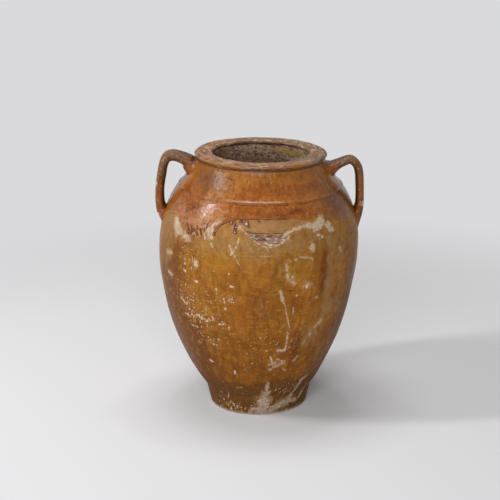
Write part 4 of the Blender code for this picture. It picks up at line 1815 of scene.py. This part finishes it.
# Thin honey glaze over thrown red clay, with a second, redder coat on the shoulder. The first was
# poured and fired, and has since worn, flaked and taken up lime. The second was ladled on from
# above, so it pools dark at its lower edge and ends in runs and beads.
RED_GLAZED_WALL = FiredSurface(
    title="honey_and_red_glaze",
    hue="#a4671a",
    second_hue="#965a13",
    base_grain=Grain(60, 80),
    gloss=(0.36, 0.5),
    specular=0.24,
    layers=(
        Layer("#70400b", "#7d4910", Grain(70, 110), above=0.05, edge=0.1, cover=0.45),
        Layer("#a87220", "#b07a29", Grain(40, 52), above=0.06, edge=0.1, cover=0.45),
        Layer("#86440f", "#783a0c", Grain(12, 70, 3, Flow.WALL), Mark.TONE, gain=-1, above=0.42,
              edge=0.42, cover=0.8),
        Layer("#a5762e", "#9a6922", Grain(16, 30, 3, Flow.WALL), Mark.TONE, above=0.4,
              edge=0.42, cover=0.85),
        # Darker glaze, and painted shade where the deep-and-shade field is high
        Layer("#6c380a", "#5e2f08", Grain(16, 34, 4, Flow.WALL), Mark.DEEP, fray_by=0.9,
              above=0.5, edge=0.5, cover=0.85),
        Layer("#693d0d", "#754914", Grain(15, 19, 5), above=0.06, edge=0.06, cover=0.44),
        Layer("#b28439", "#a77830", Grain(12, 15, 5), above=0.09, edge=0.05, cover=0.36),
        Layer("#6d3d0d", "#60350c", Grain(9, 60, 3, Flow.WALL), above=0.08, edge=0.09,
              cover=0.36),
        Layer("#5a320c", "#683e13", Grain(60, 3, 2, Flow.WALL), above=0.13, edge=0.07,
              cover=0.36),
        Layer("#bf9560", "#ad8149", Grain(32, 2.2, 2, Flow.WALL), above=0.17, edge=0.05,
              cover=0.4),
        Layer("#4f2a0b", "#5c3510", Grain(3.5, 3.5, 4), above=0.12, edge=0.04, cover=0.55),
        # Faded glaze, partly painted sheen in the band below the red coat
        Layer("#9d794e", "#88653f", Grain(4, 24, 3, Flow.WALL), Mark.FADED, gain=0.42,
              above=0.2, edge=0.1, cover=0.72, roughness=0.7),
        Layer("#5d3813", "#6b4723", Grain(16, 22), Mark.FOOT, fray_by=34, edge=9,
              mottle=Grain(9, 16, 5), cover=0.86, roughness=0.6),
        Layer("#b08a52", "#a37a42", Grain(9, 11, 4), Mark.FLAKES, gain=0.34, above=0.28,
              edge=0.06, cover=0.4, roughness=0.7),
        Layer("#3f1f09", "#4e2b0d", Grain(4.3, 5.2, 2), Mark.FLAKES, gain=0.25, above=0.285,
              edge=0.02, cover=0.75, lift_mm=-0.1),
        # A dark ring of painted shadow round the pale flakes laid next
        Layer("#5c3410", "#6a3f15", Grain(4.5, 5.8, 2), Mark.FLAKES, gain=0.34, above=0.265,
              edge=0.02, cover=0.75, lift_mm=0.12),
        Layer("#dccbb0", "#c4a67c", Grain(4.5, 5.8, 2), Mark.FLAKES, gain=0.34, above=0.3,
              edge=0.02, cover=0.92, roughness=0.85, lift_mm=-0.2),
        Layer("#985413", "#88460f", Grain(5, 5, 4), Mark.COAT, fray_by=2.2, edge=0.6,
              mottle=Grain(30, 36, 4), roughness=0.09),
        Layer("#a56f2b", "#996122", Grain(12, 16, 5), Mark.TONE, fray_by=1.5, above=0.42,
              edge=0.35, cover=0.75, within=Mark.COAT, roughness=0.34),
        Layer("#7f3d17", "#703314", Grain(12, 9, 5), Mark.TONE, gain=-1, fray_by=1.6,
              above=0.42, edge=0.35, cover=0.75, within=Mark.COAT),
        Layer("#6e3613", "#612d10", Grain(34, 22, 5), above=0.09, edge=0.09, cover=0.42,
              within=Mark.COAT),
        Layer("#ad7230", "#a06425", Grain(20, 12, 5), above=0.1, edge=0.08, cover=0.42,
              within=Mark.COAT),
        Layer("#6b3410", "#5c2a0d", Grain(6, 13, 5, Flow.WALL), above=0.07, edge=0.06,
              cover=0.4, within=Mark.COAT),
        Layer("#b4763a", "#a6682c", Grain(7, 12, 5, Flow.WALL), above=0.09, edge=0.06,
              cover=0.4, within=Mark.COAT),
        # Darker coat, and painted shade on the flanks and the left of the neck
        Layer("#653915", "#582f11", Grain(12, 16, 5), Mark.DEEP, fray_by=1.2, above=0.45,
              edge=0.4, cover=0.8, within=Mark.COAT),
        # Paler coat, mostly painted sheen on the left of the shoulder
        Layer("#b27d58", "#9d6a4a", Grain(9, 9, 5), Mark.FADED, gain=0.5, above=0.26, edge=0.14,
              cover=0.7, within=Mark.COAT),
        Layer("#4c250e", "#3f1e0b", Grain(4, 3.4, 4), above=0.13, edge=0.04, cover=0.62,
              within=Mark.COAT, lift_mm=-0.15),
        Layer("#c39a74", "#ad8560", Grain(5, 3.4, 4), above=0.18, edge=0.02, cover=0.8,
              within=Mark.COAT, roughness=0.7),
        Layer("#a37848", "#8f6537", Grain(5, 5, 4), Mark.TAN, fray_by=3, edge=0.8,
              mottle=Grain(14, 7, 5), roughness=0.8),
        Layer("#ab8c6c", "#906b49", Grain(9, 10, 5), Mark.CREAM, fray_by=22, edge=0.9,
              mottle=Grain(6, 8, 5), roughness=0.85),
        Layer("#cab89f", "#b69e7f", Grain(6, 8, 5), Mark.CREAM, gain=0.03, above=0.14,
              edge=0.06, cover=0.75, within=Mark.CREAM, roughness=0.9),
        Layer("#a06f55", "#8b7667", Grain(5, 5, 4), Mark.CHIP, fray_by=2, edge=0.5,
              mottle=Grain(16, 9, 4), roughness=0.9),
        Layer("#5f4032", "#4d3a31", Grain(15, 9, 4), above=0.03, edge=0.05, cover=0.85,
              within=Mark.CHIP),
        Layer("#d0c1b0", "#bcab99", Grain(13, 5.5, 4), above=0.08, edge=0.04, cover=0.85,
              within=Mark.CHIP),
        # Dark pools and lines, and painted shade under the rim, at the ground line, under the
        # raised line and on top of the chip
        Layer("#40190a", "#52240b", Grain(6, 6), Mark.POOL, fray_by=1.2, edge=0.5, cover=0.92,
              roughness=0.25, lift_mm=0.2),
        Layer("#7d3f1e", "#93603f", Grain(4, 4), Mark.POOL, fray_by=1.6, above=1.4, edge=0.6,
              cover=0.8, roughness=0.08, lift_mm=0.3),
        Layer("#45200d", "#572b13", Grain(3, 3), Mark.BEAD, fray_by=0.6, above=-0.3, edge=0.4,
              roughness=0.12),
        Layer("#8a4722", "#9a5c34", Grain(3, 3), Mark.BEAD, fray_by=1.4, above=1, edge=0.7,
              cover=0.85, roughness=0.05),
        # A painted highlight: a pale spot in the middle of each large bead
        Layer("#cdb09f", "#b58f79", Grain(3, 3), Mark.BEAD, fray_by=1.6, above=2.5, edge=0.5,
              cover=0.85),
        Layer("#b18d66", "#9c7850", Grain(7, 8, 5), Mark.LIME, gain=0.75, fray_by=3.6,
              above=-0.1, edge=0.35, mottle=Grain(4, 4), strength=Mark.LIME_STRENGTH, cover=0.8,
              roughness=0.9),
        Layer("#d9c9b4", "#bfa88e", Grain(5.4, 6.6, 5), Mark.LIME, gain=0.85, fray_by=4,
              above=0.3, edge=0.14, mottle=Grain(4, 4), strength=Mark.LIME_STRENGTH,
              roughness=0.9, lift_mm=0.15),
        Layer("#96877a", "#7f6f61", Grain(6, 9, 5), Mark.LIME, gain=0.85, fray_by=4, above=0.25,
              edge=0.4, strength=Mark.LIME_STRENGTH, within=Mark.FOOT, cover=0.75),
    ),
    bumps=(
        (Grain(80, 1.6, 2, Flow.WALL), 0.12),
        (Grain(16, 13, 2), 0.6),
        (Grain(7.5, 7, 1), 0.44),
        (Grain(4.5, 4.5), 0.16),
        (Grain(1.6, 1.6, 2), 0.07),
    ),
)

# The rim's bare red clay, worn grey-brown by weather, with flaking along its turning.
WORN_EARTHENWARE = FiredSurface(
    title="weathered_earthenware",
    hue="#8e6548",
    second_hue="#704e36",
    specular=0.25,
    base_grain=Grain(30, 9, 4, Flow.RIM),
    gloss=(0.62, 0.8),
    layers=(
        Layer("#766150", "#615143", Grain(30, 10, 4, Flow.RIM), Mark.FADED, fray_by=1.6,
              above=0.5, edge=0.3, cover=0.85),
        Layer("#a57c60", "#9a6e49", Grain(48, 9, 5, Flow.RIM), above=0.04, edge=0.05,
              cover=0.75),
        Layer("#c4a78c", "#ae8d6f", Grain(26, 11, 5, Flow.RIM), above=0.07, edge=0.04,
              cover=0.75, lift_mm=0.3),
        Layer("#58402f", "#664938", Grain(40, 8, 4, Flow.RIM), above=0.075, edge=0.04,
              cover=0.65, lift_mm=-0.5),
        # Painted shade in the mouth and on the faces that turn down
        Layer("#3d2412", "#2e190b", Grain(16, 6, 5, Flow.RIM), Mark.WEAR, gain=0.9, fray_by=1.2,
              above=0.35, edge=0.2, cover=0.85),
        Layer("#cbb49c", "#b69a7f", Grain(5, 3, 4, Flow.RIM), above=0.13, edge=0.03, cover=0.7),
        Layer("#443024", "#50382a", Grain(26, 2.6, 4, Flow.RIM), above=0.11, edge=0.03,
              cover=0.85, lift_mm=-0.5),
        Layer("#9c6a2a", "#87541f", Grain(9, 3, 4, Flow.RIM), Mark.TONE, gain=0.6, fray_by=1.4,
              above=0.3, edge=0.08, cover=0.9, roughness=0.3),
    ),
    bumps=((Grain(26, 2.2, 4, Flow.RIM), 0.7), (Grain(3, 3, 4), 0.35)),
)

# The unglazed inside: thrown clay darkened by damp and what was stored, with lime on it.
SMOKED_LINING = FiredSurface(
    title="stained_inner_clay",
    hue="#cfac8e",
    second_hue="#b08b6c",
    base_grain=Grain(40, 24, 4),
    gloss=(0.8, 0.95),
    specular=0.3,
    layers=(
        Layer("#e6cdb6", "#d4b89e", Grain(16, 9, 5), above=0.04, edge=0.05, cover=0.8),
        Layer("#684730", "#7a573b", Grain(11, 7, 5), above=0.06, edge=0.04, cover=0.8),
        Layer("#f4e8da", "#dcc7ae", Grain(5.4, 5.4, 4), above=0.095, edge=0.03, cover=0.85),
        Layer("#2a190c", "#3a2515", Grain(6, 5, 4), above=0.11, edge=0.03, cover=0.85),
        Layer("#b89d48", "#c8a957", Grain(16, 4, 5, Flow.WALL), Mark.TONE, gain=0.8, fray_by=2,
              above=0.3, edge=0.1, cover=0.8, roughness=0.5),
        # Painted shade on the lining under the rim's overhang
        Layer("#351e0d", "#472b14", Grain(14, 5, 5, Flow.WALL), Mark.WEAR, above=0.5, edge=0.25,
              cover=0.8),
    ),
    bumps=((Grain(9, 5, 4), 0.9),),
)

# Brown glaze on a pulled strap, worn through to grey-brown clay where hands and rain reach.
HANDLE_GLAZE = FiredSurface(
    title="worn_handle_glaze",
    hue="#693c12",
    second_hue="#58310e",
    base_grain=Grain(16, 26, 4),
    gloss=(0.3, 0.42),
    specular=0.3,
    layers=(
        Layer("#8d4b0c", "#7b3e08", Grain(10, 22, 4), Mark.TONE, gain=-1, fray_by=1.3,
              above=0.4, edge=0.35, cover=0.9, roughness=0.33),
        Layer("#9d6726", "#8a561d", Grain(9, 26, 4), above=0.08, edge=0.05, cover=0.5),
        Layer("#44250a", "#512d0e", Grain(8, 22, 4), above=0.07, edge=0.05, cover=0.6),
        Layer("#73543a", "#5d432d", Grain(9, 14, 5), Mark.WEAR, gain=0.9, fray_by=1.5,
              above=0.42, edge=0.12, mottle=Grain(6, 9, 4), cover=0.9, roughness=0.72),
        Layer("#ad9277", "#987c60", Grain(5, 7, 4), Mark.WEAR, gain=0.07, above=0.15, edge=0.03,
              cover=0.8, roughness=0.85),
        # Painted shade on the straps' inner faces
        Layer("#2f1708", "#3b1f0c", Grain(8, 16, 4), Mark.DEEP, fray_by=0.9, above=0.45,
              edge=0.3, cover=0.8),
        Layer("#38200c", "#462a10", Grain(4.4, 6, 4), above=0.13, edge=0.04, cover=0.65,
              lift_mm=-0.15),
        Layer("#d8c8b2", "#c2a888", Grain(3, 4, 4), Mark.LIME, gain=0.8, fray_by=2.4, above=0.2,
              edge=0.15, cover=0.9, roughness=0.85),
    ),
    bumps=((Grain(7, 12, 4), 0.5), (Grain(2, 2), 0.15)),
)

# Bare beaten clay under the foot, scraped level and rubbed by the floor, with lime bloom.
BARE_UNDERSIDE = FiredSurface(
    title="bare_foot_clay",
    hue="#9a7452",
    second_hue="#80603f",
    base_grain=Grain(26, 26, 4),
    gloss=(0.8, 0.95),
    layers=(
        Layer("#c3b09a", "#b29b80", Grain(18, 18, 5), above=0.08, edge=0.06, cover=0.75),
        Layer("#6b5038", "#5c4430", Grain(5, 5, 4), above=0.13, edge=0.04, cover=0.6,
              lift_mm=-0.2),
    ),
    bumps=((Grain(3, 3, 4), 0.4),),
)


# ---- the studio ----


@dataclass(frozen=True)
class Softbox:
    """A soft lamp: its centre, the point that it faces, its size in metres, and its radiance."""

    name: str
    place: Spot
    aim: Spot
    size: Span
    radiance: float

    def hang(self) -> None:
        """Adds the lamp, out of the camera's sight. At a radiance of 1 its face is white."""
        lamp = bpy.data.lights.new(self.name, "AREA")
        lamp.shape = "RECTANGLE"
        lamp.size, lamp.size_y = self.size
        lamp.energy = self.radiance * math.pi * self.size[0] * self.size[1]
        holder = placed(self.name, lamp)
        holder.visible_camera = False
        holder.location = self.place
        direction = Vector(self.aim) - Vector(self.place)
        holder.rotation_euler = direction.to_track_quat("-Z", "Y").to_euler()


@dataclass(frozen=True)
class Studio:
    """A plain pale floor that runs into a pale backdrop, soft lamps, and the camera.

    The camera stands as the photograph's did: 1.47 m up, looking 16.6 degrees down.
    """

    pale_hue: str = "#dadadc"
    light_hue: str = "#fffdfa"
    ambient: float = 0.19
    floor_half: float = 14.0
    floor_roughness: float = 0.5
    fade_from: float = 0.8
    fade_to: float = 1.8
    camera_place: Spot = (0.0, -3.667, 1.467)
    camera_pitch: float = math.radians(73.39)
    sensor_mm: float = 36.0
    lens_mm: float = 36 * 1611 / 500
    shift_x: float = -7.3 / 500
    clip: Span = (0.05, 60)
    lamps: tuple[Softbox, ...] = (
        Softbox("window_softbox", (-2.2, -0.59, 2.02), (0.0, 0.0, 0.5), (0.2, 1.2), 46.0),
        Softbox("front_softbox", (-0.5, -3.55, 1.15), (0.0, 0.0, 0.35), (2.6, 1.6), 5.9),
        Softbox("top_softbox", (-0.2, 0.3, 3.3), (0.0, 0.0, 0.55), (1.7, 1.4), 5.4),
        Softbox("left_top_softbox", (-0.35, 0.4, 2.9), (0.0, 0.0, 0.55), (0.17, 0.17), 30.0),
        Softbox("right_top_softbox", (0.36, 0.4, 2.9), (0.0, 0.0, 0.55), (0.17, 0.17), 34.0),
    )

    def build(self) -> None:
        """Makes the floor, the backdrop, the lamps and the camera."""
        self._floor()
        self._backdrop()
        for lamp in self.lamps:
            lamp.hang()
        camera = bpy.data.cameras.new("camera")
        camera.lens, camera.sensor_width = self.lens_mm, self.sensor_mm
        camera.shift_x = self.shift_x
        camera.clip_start, camera.clip_end = self.clip
        holder = placed("camera", camera)
        holder.location = self.camera_place
        holder.rotation_euler = (self.camera_pitch, 0, 0)
        bpy.context.scene.camera = holder
        bpy.context.scene.view_settings.view_transform = "Standard"

    def _floor(self) -> None:
        """A level floor that turns into the backdrop's hue away from the jar."""
        half = self.floor_half
        corners = [(-half, -half, 0), (half, -half, 0), (half, half, 0), (-half, half, 0)]
        mesh = bpy.data.meshes.new("floor")
        mesh.from_pydata(corners, [], [(0, 1, 2, 3)])
        floor = placed("floor", mesh)
        made = bpy.data.materials.new("pale_floor")
        tree = empty_tree(made)
        hue = linear(self.pale_hue)
        place = add_node(tree, "TexCoord", {}, "Object")
        away = add_node(tree, "VectorMath", {0: place}, "Value", operation="LENGTH")
        inputs = {"Value": away, "From Min": self.fade_from, "From Max": self.fade_to}
        fade = add_node(tree, "MapRange", inputs, interpolation_type="SMOOTHSTEP")
        matte = add_node(tree, "BsdfDiffuse", {"Color": hue, "Roughness": self.floor_roughness})
        even = add_node(tree, "Emission", {"Color": hue, "Strength": 1.0})
        shown = add_node(tree, "Math", {0: fade, 1: self._seen(tree)}, operation="MULTIPLY")
        mixed = add_node(tree, "MixShader", {0: shown, 1: matte, 2: even})
        add_node(tree, "OutputMaterial", {"Surface": mixed})
        mesh.materials.append(made)

    @staticmethod
    def _seen(tree: Tree) -> Socket:
        """Tells the rays that show the backdrop from those that carry light.

        Args:
            tree: the node tree of the floor or the world.

        Returns:
            1 for rays from the camera and for mirrored and passed rays, else 0.
        """
        seen: Socket | float = 0.0
        for ray in ("Is Camera Ray", "Is Transmission Ray", "Is Glossy Ray"):
            path = add_node(tree, "LightPath", {}, ray)
            seen = add_node(tree, "Math", {0: seen, 1: path}, operation="MAXIMUM")
        return seen

    def _backdrop(self) -> None:
        """The world: an even pale backdrop, and soft light from all sides."""
        world = bpy.data.worlds.new("studio")
        bpy.context.scene.world = world
        tree = empty_tree(world)
        inputs = {"Color": linear(self.light_hue), "Strength": self.ambient}
        light = add_node(tree, "Background", inputs)
        shown = add_node(tree, "Background", {"Color": linear(self.pale_hue), "Strength": 1.0})
        mixed = add_node(tree, "MixShader", {0: self._seen(tree), 1: light, 2: shown})
        add_node(tree, "OutputWorld", {"Surface": mixed})


# ---- the whole jar ----


def thrown_rings() -> list[ThrownRing]:
    """The six thrown rings.

    Returns:
        The rings from the foot up.
    """
    honey, red = Slot.HONEY_GLAZE, Slot.RED_GLAZE
    return [
        ThrownRing(Node.FOOT_RING, honey, FORM.floor_top, FORM.foot_top),
        ThrownRing(Node.LOWER_RING, honey, FORM.foot_top, FORM.lower_top),
        ThrownRing(Node.BELLY_RING, honey, FORM.lower_top, FORM.belly_top),
        ThrownRing(Node.UPPER_RING, honey, FORM.belly_top, FORM.upper_top),
        ThrownRing(Node.SHOULDER_RING, red, FORM.upper_top, FORM.shoulder_top, FINE_ROW_STEP),
        ThrownRing(Node.NECK_RING, red, FORM.shoulder_top, FORM.neck_top, FINE_ROW_STEP),
    ]


def handles() -> list[StrapHandle]:
    """The two pulled handles.

    Returns:
        The heavy left one and the thinner right one.
    """
    return [
        StrapHandle(
            Node.LEFT_HANDLE, Side.LEFT, LEFT_ROUTE_SHARES, width=0.05, leg=0.0222, arch=0.0245,
            root=0.042, arch_drop=0.012, root_drop=0.0055, standoff=0.011, worn_above=0.556,
            seed=60, pale_spots=(((-0.236, -0.02, 0.463), 0.01), ((-0.238, -0.018, 0.543), 0.008)),
        ),
        StrapHandle(
            Node.RIGHT_HANDLE, Side.RIGHT, RIGHT_ROUTE_SHARES, width=0.042, leg=0.0205, arch=0.0195,
            root=0.032, arch_drop=0.018, root_drop=0.0255, standoff=0.0045, worn_above=0.57,
            seed=70, pale_spots=(((0.247, -0.017, 0.492), 0.008),),
        ),
    ]


def main() -> None:
    """Builds the studio and then the jar piece by piece, from the foot up."""
    logging.basicConfig(level=logging.INFO, format="%(message)s")
    Studio().build()
    lining, under = SMOKED_LINING.material(), BARE_UNDERSIDE.material()
    honey = replace(RED_GLAZED_WALL, title="honey_glaze", specular=DULLED_SPECULAR)
    walls = {Slot.HONEY_GLAZE: honey.material(), Slot.RED_GLAZE: RED_GLAZED_WALL.material()}
    pieces = [FloorSlab().build(walls[Slot.HONEY_GLAZE], under)]
    pieces += [ring.build(walls[ring.slot], lining) for ring in thrown_rings()]
    pieces.append(FlatRim().build(WORN_EARTHENWARE.material()))
    strap_glaze = HANDLE_GLAZE.material()
    pieces += [handle.build(strap_glaze) for handle in handles()]
    LOG.info("%d pieces", len(pieces))


if __name__ == "__main__":
    main()
